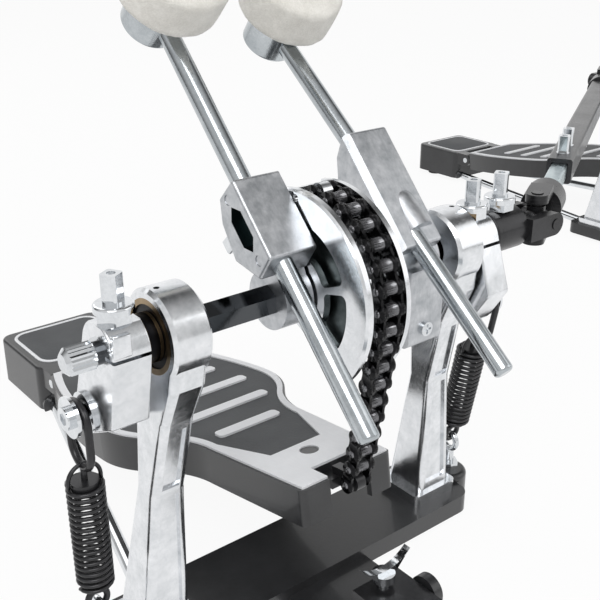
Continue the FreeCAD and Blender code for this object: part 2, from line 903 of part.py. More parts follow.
def sector_face(inner, outer, start, end, x):
    middle = (start + end) / 2
    return face_of([arc(polar(outer, start, x), polar(outer, middle, x), polar(outer, end, x)),
                    line(polar(outer, end, x), polar(inner, end, x)),
                    arc(polar(inner, end, x), polar(inner, middle, x), polar(inner, start, x)),
                    line(polar(inner, start, x), polar(outer, start, x))])


def cam_plate_face(x):
    swing = math.degrees(math.acos(cam_hub_radius / cam_rim_radius))
    top, tip = cam_top_angle, cam_tip_angle
    back_top = top + swing
    back_tip = tip - swing + 360
    rim = [polar(cam_rim_radius, angle, x) for angle in (tip, (top + tip) / 2, top)]
    hub = [polar(cam_hub_radius, angle, x) for angle in (back_top, (back_top + back_tip) / 2, back_tip)]
    return face_of([arc(*rim), line(rim[-1], hub[0]), arc(*hub), line(hub[-1], rim[0])])


def cam():
    x0 = chain_x - cam_far_gap - cam_plate
    x1 = chain_x + cam_near_gap + cam_plate
    plates = []
    for x in (x0, x1 - cam_plate):
        plate = cam_plate_face(x).extrude(Vec(cam_plate, 0, 0))
        outer = x0 if x == x0 else x1
        plates.append(plate.makeChamfer(cam_edge, edges_across_x(plate, outer)))
    floor_top = chain_radius - chain_plate_radius - standing_gap
    floor = sector_face(floor_top - cam_floor, floor_top, cam_tip_angle, cam_top_angle, x0 + cam_plate / 2)
    floor = floor.extrude(Vec(cam_gap + cam_plate, 0, 0))
    hub = rod_x(cam_hub_radius - cam_edge, x0, x1)
    windows = []
    for start, end in window_angles:
        window = sector_face(window_inner, window_outer, start, end, x1 - cam_plate - overrun)
        window = window.extrude(Vec(cam_plate + 2 * overrun, 0, 0))
        windows.append(window.makeFillet(window_corner, straight_edges_along(window, along_x)))
    pin = polar(chain_radius, first_pin_angle(), chain_x)
    half = anchor_lug_half
    lug = rod_x(anchor_lug_radius, chain_x - half, chain_x + half, pin.y, pin.z)
    pin_hole = rod_x(chain_pin_radius + chain_pin_gap, x0 - overrun, x1 + overrun, pin.y, pin.z)
    bore = hex_x(hex_flats, x0 - overrun, x1 + overrun)
    wall = sector_face(floor_top - cam_floor / 2, cam_rim_radius - cam_edge,
                       cam_top_angle - cam_wall_angle, cam_top_angle - cam_wall_inset, x0 + cam_plate / 2)
    wall = wall.extrude(Vec(cam_gap + cam_plate, 0, 0))
    body = fused(*plates, floor, hub, wall)
    tongue = sector_face(chain_radius - half, chain_radius + half / 2, first_pin_angle(),
                         cam_top_angle - cam_wall_angle / 2, chain_x - half)
    tongue = tongue.extrude(Vec(2 * half, 0, 0))
    clear = rod_x(chain_plate_radius + standing_gap, x0 + cam_plate, x1 - cam_plate, pin.y, pin.z)
    return fused(body.cut(windows).cut(clear), lug, tongue).cut([pin_hole, bore])


def first_pin_angle():
    return chain_exit + wrap_links * link_angle()


def link_angle():
    return math.degrees(2 * math.asin(chain_pitch / (2 * chain_radius)))


# Roller chain: inner links carry the rollers, outer links carry the pins


def chain_plate_shape(x):
    # waisted plate between two pins, lying along Z from the first pin
    waist = chain_waist_radius
    r = chain_plate_radius
    half = chain_pitch / 2
    swing = math.radians(chain_shoulder)
    y = r * math.sin(swing)
    z = r * math.cos(swing)
    edges = [arc(Vec(x, y, z), Vec(x, 0, -r), Vec(x, -y, z)),
             arc(Vec(x, -y, z), Vec(x, -waist, half), Vec(x, -y, chain_pitch - z)),
             arc(Vec(x, -y, chain_pitch - z), Vec(x, 0, chain_pitch + r), Vec(x, y, chain_pitch - z)),
             arc(Vec(x, y, chain_pitch - z), Vec(x, waist, half), Vec(x, y, z))]
    return face_of(edges).extrude(Vec(chain_plate, 0, 0))


def inner_link():
    half = chain_roller_width / 2
    plates = [chain_plate_shape(x) for x in (half, -half - chain_plate)]
    rollers = [rod_x(chain_roller_radius, -half, half, 0, z) for z in (0, chain_pitch)]
    reach = half + chain_plate + overrun
    bores = [rod_x(chain_pin_radius + chain_pin_gap, -reach, reach, 0, z) for z in (0, chain_pitch)]
    return fused(*plates, *rollers).cut(bores)


def outer_link():
    start = chain_roller_width / 2 + chain_plate + chain_plate_gap
    plates = [chain_plate_shape(x) for x in (start, -start - chain_plate)]
    reach = start + chain_plate + chain_pin_head
    pins = [rod_x(chain_pin_radius, -reach, reach, 0, z) for z in (0, chain_pitch)]
    return fused(*plates, *pins)


def chain_pins():
    step = link_angle()
    first = first_pin_angle()
    wrapped = [polar(chain_radius, first - k * step, chain_x) for k in range(wrap_links + 1)]
    run = [wrapped[-1] + chain_direction() * (k * chain_pitch) for k in range(1, run_links + 1)]
    return wrapped + run


def chain():
    kinds = (outer_link(), inner_link())
    pins = chain_pins()
    links = []
    for k in range(len(pins) - 1):
        links.append(moved(framed(kinds[k % 2], pins[k], along_x, (pins[k + 1] - pins[k]).normalize()), lift))
    return links[:wrap_links], links[wrap_links:]


# Beater holders, rods and heads, upright about the axle and then leaned back


def holder(rod_y, x_out, x_in, outline, hub_start, hub_end):
    outer_side = 1 if x_out > x_in else -1
    x0, x1 = sorted((x_out, x_in))
    block = polygon_face([Vec(x0, y, z) for y, z in outline]).extrude(Vec(x1 - x0, 0, 0))
    corners = straight_edges_along(block, along_x)
    block = block.makeFillet(holder_round, corners + edges_across_x(block, x_out))
    hub = rod_x(holder_hub_radius, hub_start, hub_end)
    web_back = min(y for y, z in outline)
    web = polygon_face([Vec(hub_start, -holder_hub_radius / 2, 0), Vec(hub_start, holder_hub_radius - overrun, 0),
                        Vec(hub_start, rod_y - rod_radius, holder_hub_radius),
                        Vec(hub_start, rod_y - rod_radius, slot_height),
                        Vec(hub_start, web_back + holder_bevel, slot_height)])
    web = web.extrude(Vec(hub_end - hub_start, 0, 0))
    slot = hex_slot(x_out, outer_side, rod_y + slot_shift)
    return fused(block, hub, web).cut(slot)


def front_bevel(x_in, outline):
    # prism that takes off the edge between the front and the cheek at x_in, which faces +X
    low, high = [Vec(x_in, y, z) for y, z in outline[:2]]
    rise = (high - low).normalize()
    back = along_x.cross(rise)
    back = back if back.y < 0 else -back
    far = holder_bevel + overrun
    start = low - rise * far
    points = [start + (along_x - back) * overrun, start + along_x * overrun + back * far,
              start - along_x * far - back * overrun]
    return polygon_face(points).extrude(rise * ((high - low).Length + 2 * far))


def rod_bore(rod_at, rod_y):
    return rod_z(rod_radius, -rod_tail, rod_top, rod_at, rod_y)


def bolt_bore(rod_at, rod_y):
    reach = rod_y + holder_hub_radius
    return Part.makeCylinder(key_shank_radius, reach, Vec(rod_at, rod_y - rod_radius, holder_bolt_height), -along_y)


def holder_marks(face_x, inward, places):
    ends = sorted((face_x, face_x + inward * mark_depth))
    return [rod_x(mark_radius, ends[0], ends[1], y, z) for y, z in places]


def holder_boss():
    # rounded boss where the left rod leaves the sloping front
    low = rod_z(boss_radius, boss_low, boss_high, boss_x, left_rod_offset)
    return low.fuse(Part.makeSphere(boss_radius, Vec(boss_x, left_rod_offset, boss_high)))


def hex_slot(face_x, outer_side, centre):
    half = slot_width / 2
    low = slot_height - slot_length / 2
    high = slot_height + slot_length / 2
    points = [Vec(face_x, centre, low), Vec(face_x, centre + half, low + half),
              Vec(face_x, centre + half, high - half), Vec(face_x, centre, high),
              Vec(face_x, centre - half, high - half), Vec(face_x, centre - half, low + half)]
    pocket = polygon_face(points).extrude(Vec(-outer_side * (slot_depth + overrun), 0, 0))
    return moved(pocket, Vec(outer_side * overrun, 0, 0))


def key_square(z0, z1):
    # square head with eased corners and a small recess in its end
    half = key_head / 2
    head = box(Vec(-half, -half, z0), Vec(half, half, z1))
    head = head.makeFillet(key_corner, straight_edges_along(head, along_z))
    return head.cut(rod_z(key_recess_radius, z1 - key_recess, z1 + overrun))


def holder_bolt(rod_at, rod_y, seat):
    # key bolt from the back of the holder on to the rod
    tip = rod_y - rod_radius
    shank = rod_z(key_shank_radius, seat - tip, 0)
    collar = rod_z(key_collar_radius, 0, key_collar)
    bolt = fused(shank, collar, key_square(key_collar, key_collar + key_head_height))
    return moved(turned(bolt, 90), Vec(rod_at, seat, holder_bolt_height))


def beater_rod(rod_at, rod_y):
    top = head_height + head_hub_radius - rod_radius
    rod = rod_z(rod_radius, -rod_tail, top, rod_at, rod_y)
    return rod.makeFillet(rod_round, [edge for edge in rod.Edges if isinstance(edge.Curve, Part.Circle)])


def head_hub(rod_at, rod_y):
    # drum of the beater head on the rod, with the nut that holds the felt
    start = rod_y - head_hub_half
    hub = Part.makeCylinder(head_hub_radius, 2 * head_hub_half, Vec(rod_at, start, head_height), along_y)
    hub = hub.makeFillet(head_hub_round, [edge for edge in hub.Edges if edge.BoundBox.YMax < start + overrun])
    nut = turned(hex_z(head_nut_flats, 0, head_nut_height), 90)
    nut = moved(nut, Vec(rod_at, start, head_height))
    bore = rod_z(rod_radius, 0, head_height + head_hub_radius - rod_radius, rod_at, rod_y)
    return fused(hub, nut).cut(bore)


def felt_head(rod_at, rod_y):
    start = rod_y + head_hub_half
    # a round pad with a shallow dome, its edges eased
    drum = Part.makeCylinder(felt_radius, felt_length, Vec(0, start, 0), along_y)
    dome_radius = (felt_radius ** 2 + felt_crown ** 2) / (2 * felt_crown)
    dome = Part.makeSphere(dome_radius, Vec(0, start + felt_length - dome_radius, 0))
    felt = drum.common(dome)
    felt = felt.makeFillet(felt_round, [edge for edge in felt.Edges if isinstance(edge.Curve, Part.Circle)])
    return moved(felt, Vec(rod_at, 0, head_height))


def leaned(shape, lean):
    return moved(turned(shape, lean), lift)


def lower_arm(x0, x1):
    # web below the secondary holder's hub, upright at rest
    points = [Vec(x0, arm_front, 0), Vec(x0, arm_front, -arm_low), Vec(x0, arm_back, -arm_low),
              Vec(x0, -holder_hub_radius / 2, 0)]
    arm = polygon_face(points).extrude(Vec(x1 - x0, 0, 0))
    low_edges = [edge for edge in straight_edges_along(arm, along_x)
                 if edge.BoundBox.ZMax < -arm_low + overrun]
    return arm.makeFillet(arm_round, low_edges)


def arm_screw(x):
    seat = Vec(x, arm_front, axle_height - arm_screw_height)
    head = Part.makeCylinder(arm_screw_radius, arm_screw_head, seat, along_y)
    reach = arm_screw_radius * math.sqrt(0.5)
    slit = arm_screw_radius / 3
    cross = [box(Vec(x - a / 2, arm_front + arm_screw_head / 2, axle_height - arm_screw_height - b / 2),
                 Vec(x + a / 2, arm_front + arm_screw_head + overrun, axle_height - arm_screw_height + b / 2))
             for a, b in ((2 * reach, slit), (slit, 2 * reach))]
    return head.cut(cross)


# Spring rocker: a hub and a stud boss joined by a flat-fronted arm, a flat for the key bolt, a clamp slit


def rocker(side, inner, width, arm_angle):
    outer = inner + width
    tip = Vec(inner, 0, -stud_reach)
    back = -90 - math.degrees(math.acos((rocker_hub_radius - rocker_end_radius) / stud_reach))
    face_top = polar(rocker_hub_radius, rocker_face_angle, inner)
    corner = face_top + polar(rocker_face_length, rocker_face_angle - 90)
    reach = corner - tip
    low = math.degrees(math.atan2(reach.z, reach.y) - math.acos(rocker_end_radius / reach.Length))
    crown = (360 + back + rocker_face_angle) / 2
    outline = face_of([
        arc(polar(rocker_hub_radius, back, inner), polar(rocker_hub_radius, crown, inner), face_top),
        line(face_top, corner),
        line(corner, tip + polar(rocker_end_radius, low)),
        arc(tip + polar(rocker_end_radius, low), tip + polar(rocker_end_radius, (low + back) / 2),
            tip + polar(rocker_end_radius, back)),
        line(tip + polar(rocker_end_radius, back), polar(rocker_hub_radius, back, inner))])
    body = outline.extrude(Vec(width, 0, 0))
    sharp = [edge for edge in straight_edges_along(body, along_x)
             if (edge.Vertexes[0].Point - corner).dot(along_y) > -overrun]
    body = body.makeFillet(rocker_corner, sharp)
    body = body.makeFillet(rocker_round, edges_across_x(body, inner, outer))
    body = turned(body, -arm_angle)
    stud_at = polar(stud_reach, -90 - arm_angle)
    bolt_x = inner + width / 2
    low_x = inner - overrun
    high_x = outer + overrun
    past = rocker_hub_radius + overrun
    cuts = [hex_x(hex_flats, low_x, high_x),
            box(Vec(low_x, -past, rocker_flat), Vec(high_x, past, past)),
            box(Vec(low_x, 0, -rocker_slit / 2), Vec(high_x, 2 * past, rocker_slit / 2)),
            rod_z(key_shank_radius, 0, rocker_hub_radius, bolt_x),
            rod_x(stud_shank_radius, outer - stud_shank_depth, outer + overrun, stud_at.y, stud_at.z)]
    body = moved(body.cut(cuts), lift)
    return body if side > 0 else mirrored_x(body)


def key_bolt(x, seat):
    # upright key bolt on its flanged lock nut, standing on a flat at height seat above the axle
    hex_top = seat + key_nut_height
    nut_top = hex_top + key_flange
    shank = rod_z(key_shank_radius, hex_corner, nut_top)
    collar = rod_z(key_collar_radius, nut_top, nut_top + key_collar)
    head = key_square(nut_top, nut_top + key_collar + key_head_height)
    bolt = moved(turned(fused(shank, collar, head), 30, origin, along_z), Vec(x, 0, 0))
    nut_bore = rod_z(key_shank_radius, seat - overrun, nut_top + overrun, x)
    flange = rod_z(key_flange_radius, hex_top, nut_top, x)
    flange = flange.makeFillet(key_corner, edges_above(flange, nut_top - overrun))
    nut = hex_z(key_nut_flats, seat, hex_top, x).fuse(flange).cut(nut_bore)
    return [moved(bolt, lift), moved(nut, lift)]


def stud(side, start, arm_angle):
    tip = polar(stud_reach, -90 - arm_angle)
    groove = start + stud_flange
    second = groove + stud_groove
    pieces = [rod_x(stud_shank_radius, start - stud_shank_depth, start, tip.y, tip.z),
              rod_x(stud_flange_radius, start, groove, tip.y, tip.z),
              rod_x(stud_core_radius, groove, second, tip.y, tip.z),
              rod_x(stud_flange_radius, second, second + stud_flange, tip.y, tip.z)]
    seat = second + stud_flange
    head = rod_x(stud_head_radius, seat, seat + stud_head, tip.y, tip.z)
    socket = hex_x(stud_head_radius, seat + stud_head / 2, seat + stud_head + overrun, tip.y, tip.z)
    body = moved(fused(*pieces, head).cut(socket), lift)
    return body if side > 0 else mirrored_x(body)


def stud_centre(side, start, arm_angle):
    tip = polar(stud_reach, -90 - arm_angle, start + stud_flange + stud_groove / 2)
    return Vec(side * tip.x, tip.y, tip.z) + lift


# Springs: one wire wound on half-turn biarcs, hung between a hook and an oval link


def biarc(p0, t0, p1, t1):
    span = p1 - p0
    both = t0 + t1
    slack = 2 * (1 - t0.dot(t1))
    reach = (math.sqrt(span.dot(both) ** 2 + slack * span.dot(span)) - span.dot(both)) / slack
    q0 = p0 + t0 * reach
    q1 = p1 - t1 * reach
    joint = (q0 + q1) * 0.5
    return [tangent_arc(p0, q0, joint), tangent_arc(joint, q1, p1)]


def tangent_arc(start, corner, end):
    chord = (start + end) * 0.5
    turn = (corner - start).getAngle(end - corner)
    return arc(start, chord + (corner - chord) * (math.tan(turn / 4) / math.tan(turn / 2)), end)


def coil_point(angle, rise):
    return Vec(spring_radius * math.cos(angle), spring_radius * math.sin(angle), rise * angle / (2 * math.pi))


def coil_tangent(angle, rise):
    climb = rise / (2 * math.pi)
    return Vec(-spring_radius * math.sin(angle), spring_radius * math.cos(angle), climb).normalize()


def coil(length):
    rise = (length - 2 * spring_wire) / spring_turns
    angles = [math.pi * k for k in range(2 * spring_turns + 1)]
    edges = []
    for a, b in zip(angles[:-1], angles[1:]):
        edges += biarc(coil_point(a, rise), coil_tangent(a, rise), coil_point(b, rise), coil_tangent(b, rise))
    first, last = coil_point(0, rise), coil_point(angles[-1], rise)
    start = first - coil_tangent(0, rise) * (2 * spring_wire)
    end = last + coil_tangent(angles[-1], rise) * (2 * spring_wire)
    path = Part.Wire([line(start, first)] + edges + [line(last, end)])
    section = Part.Wire([Part.Circle(start, coil_tangent(0, rise), spring_wire).toShape()])
    tube = path.makePipeShell([section], True, False)
    steps = [2 * math.pi * k / 48 for k in range(48 * spring_turns)]
    points = [coil_point(a, rise) for a in steps]
    gap = min((points[k + turn] - points[k]).Length
              for turn in range(36, 61) for k in range(len(points) - turn))
    print("least gap in the coil", round(gap - 2 * spring_wire, 2))
    return moved(tube, Vec(0, 0, spring_wire))


def spring_set(name, anchor, stud_at):
    along = (stud_at - anchor)
    reach = along.Length
    along.normalize()
    plug_radius = spring_radius - spring_wire - plug_gap
    ring = Part.makeTorus(hook_radius, hook_wire, Vec(0, 0, hook_radius), along_y)
    stem = rod_z(hook_stem_radius, 2 * hook_radius, hook_plug_start)
    plug = rod_z(plug_radius, hook_plug_start, hook_plug_start + plug_length)
    hook = fused(ring, stem, plug)
    # oval link: its upper bow hangs over the stud with a standing gap
    bow = link_inner + link_wire
    top = reach - (link_inner - stud_core_radius - standing_gap)
    low = top - link_leg
    bends = []
    for level, turn in ((top, -180), (low, 180)):
        section = Part.Face(Part.Wire([Part.Circle(Vec(0, -bow, level), along_z, link_wire).toShape()]))
        bends.append(section.revolve(Vec(0, 0, level), along_x, turn))
    legs = [rod_z(link_wire, low, top, 0, y) for y in (-bow, bow)]
    bow_solid = fused(*bends, *legs)
    plug_top = low - bow - link_wire - link_stem + plug_length / 2
    link = fused(bow_solid, rod_z(link_stem_radius, plug_top - plug_length / 2, low - bow),
                 rod_z(plug_radius, plug_top - plug_length, plug_top))
    coil_start = hook_plug_start
    spring = moved(coil(plug_top - coil_start), Vec(0, 0, coil_start))
    add(name + "spring", framed(spring, anchor, along_x, along))
    add(name + "spring_hook", framed(hook, anchor, along_x, along))
    add(name + "spring_link", framed(link, anchor, along_x, along))


# Universal joints: a yoke has its pin line on X and its collar along Z


def yoke(pin_gap):
    top = yoke_setback + yoke_collar_length
    collar = rod_z(yoke_collar_radius, yoke_setback, top)
    collar = collar.makeFillet(yoke_round, edges_above(collar, top - overrun))
    arms = []
    for side in (-1, 1):
        x0, x1 = sorted((side * yoke_arm_inner, side * yoke_arm_outer))
        arm = box(Vec(x0, -yoke_arm_half, 0), Vec(x1, yoke_arm_half, yoke_setback))
        arms += [arm, rod_x(yoke_arm_half, x0, x1)]
    bridge = box(Vec(-yoke_arm_outer, -yoke_arm_half, yoke_setback - yoke_bridge),
                 Vec(yoke_arm_outer, yoke_arm_half, yoke_setback))
    hole = rod_x(cross_pin_radius + pin_gap, -yoke_arm_outer - overrun, yoke_arm_outer + overrun)
    return fused(collar, *arms, bridge).cut(hole)


def cross(pin_a, pin_b):
    # four pins on a short core, at right angles
    reach = yoke_arm_outer + cross_pin_end
    normal = pin_a.cross(pin_b)
    core = Part.makeCylinder(cross_core_radius, 2 * cross_core_half, normal * -cross_core_half, normal)
    pins = [Part.makeCylinder(cross_pin_radius, 2 * reach, pin * -reach, pin) for pin in (pin_a, pin_b)]
    blocks = [Part.makeCylinder(cross_core_radius, 2 * cross_core_half, pin * -cross_core_half, pin)
              for pin in (pin_a, pin_b)]
    return fused(core.common(Part.makeSphere(cross_core_half)), *pins, *blocks)


def yoke_key_bolt(x):
    # key bolt on top of a yoke's collar
    bolt, nut = key_bolt(x, yoke_collar_radius)
    return [bolt, nut]


# Where the second pedal stands, from the drive shaft's bend and length

post_face = post_half_spacing + ring_width / 2
rocker_outer = post_face + rocker_gap + rocker_width
right_rocker_outer = post_face + right_rocker_gap + right_rocker_width
yoke_reach = yoke_gap + yoke_collar_length + yoke_setback
near_joint_x = -(rocker_outer + yoke_reach)
near_joint = Vec(near_joint_x, 0, axle_height)
shaft_line = Vec(-math.cos(math.radians(shaft_bend)), -math.sin(math.radians(shaft_bend)), 0)
far_joint = near_joint + shaft_line * shaft_length
slave_joint_x = slave_half_spacing + ring_width / 2 + yoke_reach
slave_place = Vec(far_joint.x - slave_joint_x, far_joint.y, 0)
near_pin = polar(1, pin_rest_angle)
shaft_pin = shaft_line.cross(near_pin).normalize()


def at_slave(*shapes):
    return [moved(shape, slave_place) for shape in shapes]


# Standing pieces

slave_face = slave_half_spacing + ring_width / 2
slave_rocker_outer = slave_face + rocker_gap + rocker_width
right_stud = stud_centre(1, right_rocker_outer, right_arm_angle)
left_stud = stud_centre(-1, rocker_outer, left_arm_angle)
slave_stud = stud_centre(-1, slave_rocker_outer, slave_arm_angle)

add("base", base(post_half_spacing, (right_stud.x, left_stud.x), True))
add("slave_base", *at_slave(base(slave_half_spacing, (slave_stud.x,), False)))
add("post_right", post(1, post_half_spacing))
add("post_left", post(-1, post_half_spacing))
add("slave_posts", *at_slave(post(1, slave_half_spacing), post(-1, slave_half_spacing)))
for side in (1, -1):
    add("bearing_outer_races", outer_race(side, post_half_spacing))
    add("bearing_outer_races", *at_slave(outer_race(side, slave_half_spacing)))
add("radius_rods", *radius_rods(post_half_spacing), *at_slave(*radius_rods(slave_half_spacing)))
add("heel_plates", heel_plate(post_half_spacing), *at_slave(heel_plate(slave_half_spacing)))
clamp_pin_reach = cheek_inner + cheek_thickness
clamp_pin = rod_x(clamp_pin_radius, -clamp_pin_reach, clamp_pin_reach, clamp_pin_y, clamp_pin_height)
add("hinge_pins", heel_pin(), clamp_pin, *at_slave(heel_pin()))
add("rubber_feet", *feet(post_half_spacing, True), *at_slave(*feet(slave_half_spacing, False)))
add("base_fasteners", eye_bolt(right_stud.x), eye_bolt(left_stud.x), *at_slave(eye_bolt(slave_stud.x)))
for half, shift in ((post_half_spacing, origin), (slave_half_spacing, slave_place)):
    for side in (-1, 1):
        for x, y in post_screw_places(half):
            add("base_fasteners", moved(post_screw(side * x, y), shift))
add("clamp_jaw", clamp_jaw())
add("clamp_screw", wing_screw())

# Primary axle and what turns with it

cam_right = chain_x + cam_near_gap + cam_plate
cam_left = chain_x - cam_far_gap - cam_plate
tip_x = right_rocker_outer + axle_stub
hex_bar = hex_x(hex_flats, cam_left, right_rocker_outer)
stub_start = right_rocker_outer + clip_groove_width
neck = rod_x(clip_groove_radius, right_rocker_outer, stub_start)
teeth = []
for k in range(2 * serration_count):
    teeth.append(polar(stub_radius - serration_depth * (k % 2), 180 * k / serration_count, stub_start))
tip_start = Vec(tip_x - tip_chamfer, 0, 0)
tip_cone = Part.makeCone(stub_radius, stub_radius - tip_chamfer, tip_chamfer, tip_start, along_x)
tip_cone = tip_cone.fuse(rod_x(stub_radius, stub_start, tip_start.x))
stub = polygon_face(teeth).extrude(Vec(tip_x - stub_start, 0, 0)).common(tip_cone)
journal = rod_x(journal_radius, cam_left - journal_length - sleeve_gap, cam_left)
add("primary_axle", moved(fused(hex_bar, neck, stub, journal), lift))
add("primary_bearing_race", inner_race(1, post_half_spacing, right_rocker_gap))
add("cam", moved(cam(), lift))
wrapped, hanging = chain()
add("chain_wrap", *wrapped)
add("chain_run", *hanging)
holder_hub_start = cam_right + holder_gap
right_outline = [(right_front, right_low), (right_front, right_high), (right_crown, right_crown_height),
                 (right_shoulder, right_shoulder_height), (right_back, right_back_height),
                 (right_heel, right_heel_height)]
right_marks = [(right_upper_mark, right_upper_mark_height), (right_lower_mark, right_lower_mark_height)]
right_face = right_rod_x + right_holder_outer
right_holder = holder(right_rod_offset, right_face, right_rod_x - right_holder_inner, right_outline,
                      holder_hub_start, right_rod_x)
right_cuts = [rod_bore(right_rod_x, right_rod_offset), bolt_bore(right_rod_x, right_rod_offset)]
right_cuts += holder_marks(right_face, -1, right_marks)
hex_hole = hex_x(hex_flats, -axle_height, axle_height)
add("beater_holder", leaned(right_holder.cut(right_cuts), right_lean).cut(moved(hex_hole, lift)))
add("beater_rod", leaned(beater_rod(right_rod_x, right_rod_offset), right_lean))
add("beater_rod", leaned(head_hub(right_rod_x, right_rod_offset), right_lean))
add("beater_felt", leaned(felt_head(right_rod_x, right_rod_offset), right_lean))
add("spring_rocker", rocker(1, post_face + right_rocker_gap, right_rocker_width, right_arm_angle))
add("primary_fasteners", *key_bolt(right_rocker_outer - right_rocker_width / 2, rocker_flat))
add("primary_fasteners", stud(1, right_rocker_outer, right_arm_angle))
add("primary_fasteners", leaned(holder_bolt(right_rod_x, right_rod_offset, right_bolt_seat), right_lean))

# Secondary axle, driven from the second pedal

sleeve_right = cam_left - sleeve_gap
sleeve_left = sleeve_right - sleeve_length
yoke_collar_end = near_joint_x + yoke_setback
sleeve = rod_x(sleeve_radius, sleeve_left, sleeve_right)
second_hex = hex_x(hex_flats, yoke_collar_end, sleeve_left)
journal_bore = rod_x(journal_radius + running_gap, sleeve_left, sleeve_right + overrun)
add("secondary_axle", moved(fused(sleeve.cut(journal_bore), second_hex), lift))
add("secondary_bearing_race", inner_race(-1, post_half_spacing, rocker_gap))
left_outline = [(left_low_front, left_low), (left_front, left_high), (left_crown, left_crown_height),
                (left_shoulder, left_shoulder_height), (left_back, left_back_height),
                (left_heel, left_heel_height), (left_foot, left_low)]
left_marks = [(left_upper_mark, left_upper_mark_height), (left_lower_mark, left_lower_mark_height)]
left_hub_start = left_rod_x - left_holder_outer
left_hub_end = left_rod_x + left_holder_inner
left_holder = holder(left_rod_offset, left_hub_start, left_hub_end, left_outline, left_hub_start, left_hub_end)
left_holder = left_holder.cut(front_bevel(left_hub_end, left_outline)).fuse(holder_boss())
left_holder = leaned(left_holder, left_lean)
left_cuts = [rod_bore(left_rod_x, left_rod_offset), bolt_bore(left_rod_x, left_rod_offset)]
left_cuts += holder_marks(left_hub_end, -1, left_marks)
left_cuts = [leaned(cut, left_lean) for cut in left_cuts]
arm_start = left_rod_x - arm_outer
left_arm = moved(lower_arm(arm_start, arm_start + arm_width), lift)
add("secondary_beater_holder", fused(left_holder, left_arm).cut([moved(hex_hole, lift)] + left_cuts))
add("secondary_beater_rod", leaned(beater_rod(left_rod_x, left_rod_offset), left_lean))
add("secondary_beater_rod", leaned(head_hub(left_rod_x, left_rod_offset), left_lean))
add("secondary_beater_felt", leaned(felt_head(left_rod_x, left_rod_offset), left_lean))
add("secondary_rocker", rocker(-1, post_face + rocker_gap, rocker_width, left_arm_angle))
add("secondary_fasteners", *key_bolt(-rocker_outer + rocker_width / 2, rocker_flat))
add("secondary_fasteners", stud(-1, rocker_outer, left_arm_angle))
add("secondary_fasteners", leaned(holder_bolt(left_rod_x, left_rod_offset, left_bolt_seat), left_lean))
add("secondary_fasteners", arm_screw(arm_start + arm_width / 2))
add("secondary_fasteners", *yoke_key_bolt(yoke_collar_end + yoke_collar_length / 2))

# Yokes, crosses and the telescopic shaft


def axle_yoke(centre, toward_axle):
    # yoke on an axle's end, bored for the hex and drilled for its key bolt
    reach = yoke_setback + yoke_collar_length
    blank = framed(yoke(running_gap), centre, near_pin, toward_axle)
    bolt_x = centre.x + toward_axle.x * (yoke_setback + yoke_collar_length / 2)
    bolt_hole = rod_z(key_shank_radius, 0, yoke_collar_radius + overrun, bolt_x)
    bolt_hole = moved(bolt_hole, Vec(0, centre.y, axle_height))
    ends = sorted((centre.x + toward_axle.x * yoke_setback, centre.x + toward_axle.x * (reach + overrun)))
    bore = hex_x(hex_flats, ends[0], ends[1], centre.y, axle_height)
    seat = box(Vec(bolt_x - key_nut_flats, centre.y - key_nut_flats, axle_height + yoke_collar_radius),
               Vec(bolt_x + key_nut_flats, centre.y + key_nut_flats, axle_height + 2 * yoke_collar_radius))
    return blank.cut([bore, bolt_hole, seat])


add("near_yoke", axle_yoke(near_joint, along_x))
add("cross_near", moved(cross(near_pin, shaft_pin), near_joint))
add("cross_far", moved(cross(near_pin, shaft_pin), far_joint))

half_bar = bar_side / 2
bar_start = yoke_setback
bar_end = bar_start + bar_length
bar = box(Vec(-half_bar, -half_bar, bar_start), Vec(half_bar, half_bar, bar_end))
bar = bar.makeChamfer(overrun, straight_edges_along(bar, along_z))
bar_yoke = yoke(cross_open_gap)
add("drive_bar", framed(fused(bar_yoke, bar), near_joint, shaft_pin, shaft_line))

half_tube = tube_side / 2
tube_start = bar_end - bar_overlap
tube_end = shaft_length - yoke_setback - yoke_collar_length / 2
tube = box(Vec(-half_tube, -half_tube, tube_start), Vec(half_tube, half_tube, tube_end))
tube = tube.makeFillet(tube_round, straight_edges_along(tube, along_z))
slot_half = half_bar + tube_fit
tube_bore = box(Vec(-slot_half, -slot_half, tube_start - overrun),
                Vec(slot_half, slot_half, bar_end + bar_overlap / 2))
tube_screw_stations = [tube_start + tube_screw_inset + k * tube_screw_pitch for k in range(2)]


def across_shaft(shape, station):
    # lays an upright bolt square to the shaft, on the side that faces up at rest
    return moved(turned(shape, -90, origin, along_y), Vec(0, 0, station))


screw_holes = [across_shaft(rod_z(key_shank_radius, 0, tube_side), z) for z in tube_screw_stations]
far_yoke = framed(yoke(cross_open_gap), Vec(0, 0, shaft_length), along_x, -along_z)
tube_body = fused(tube, far_yoke).cut([tube_bore] + screw_holes)
add("drive_tube", framed(tube_body, near_joint, shaft_pin, shaft_line))


def tube_screw(station):
    shank = rod_z(key_shank_radius, half_bar, half_tube)
    collar = rod_z(key_collar_radius, half_tube, half_tube + key_collar)
    seat = half_tube + key_collar
    head = key_square(seat, seat + key_head_height)
    return framed(across_shaft(fused(shank, collar, head), station), near_joint, shaft_pin, shaft_line)


add("shaft_screws", *[tube_screw(z) for z in tube_screw_stations])

# Springs

spring_set("", Vec(right_stud.x, anchor_y, anchor_height), right_stud)
spring_set("secondary_", Vec(left_stud.x, anchor_y, anchor_height), left_stud)
slave_anchor = Vec(slave_stud.x, anchor_y, anchor_height) + slave_place
spring_set("slave_", slave_anchor, slave_stud + slave_place)

# Footboards and chain brackets

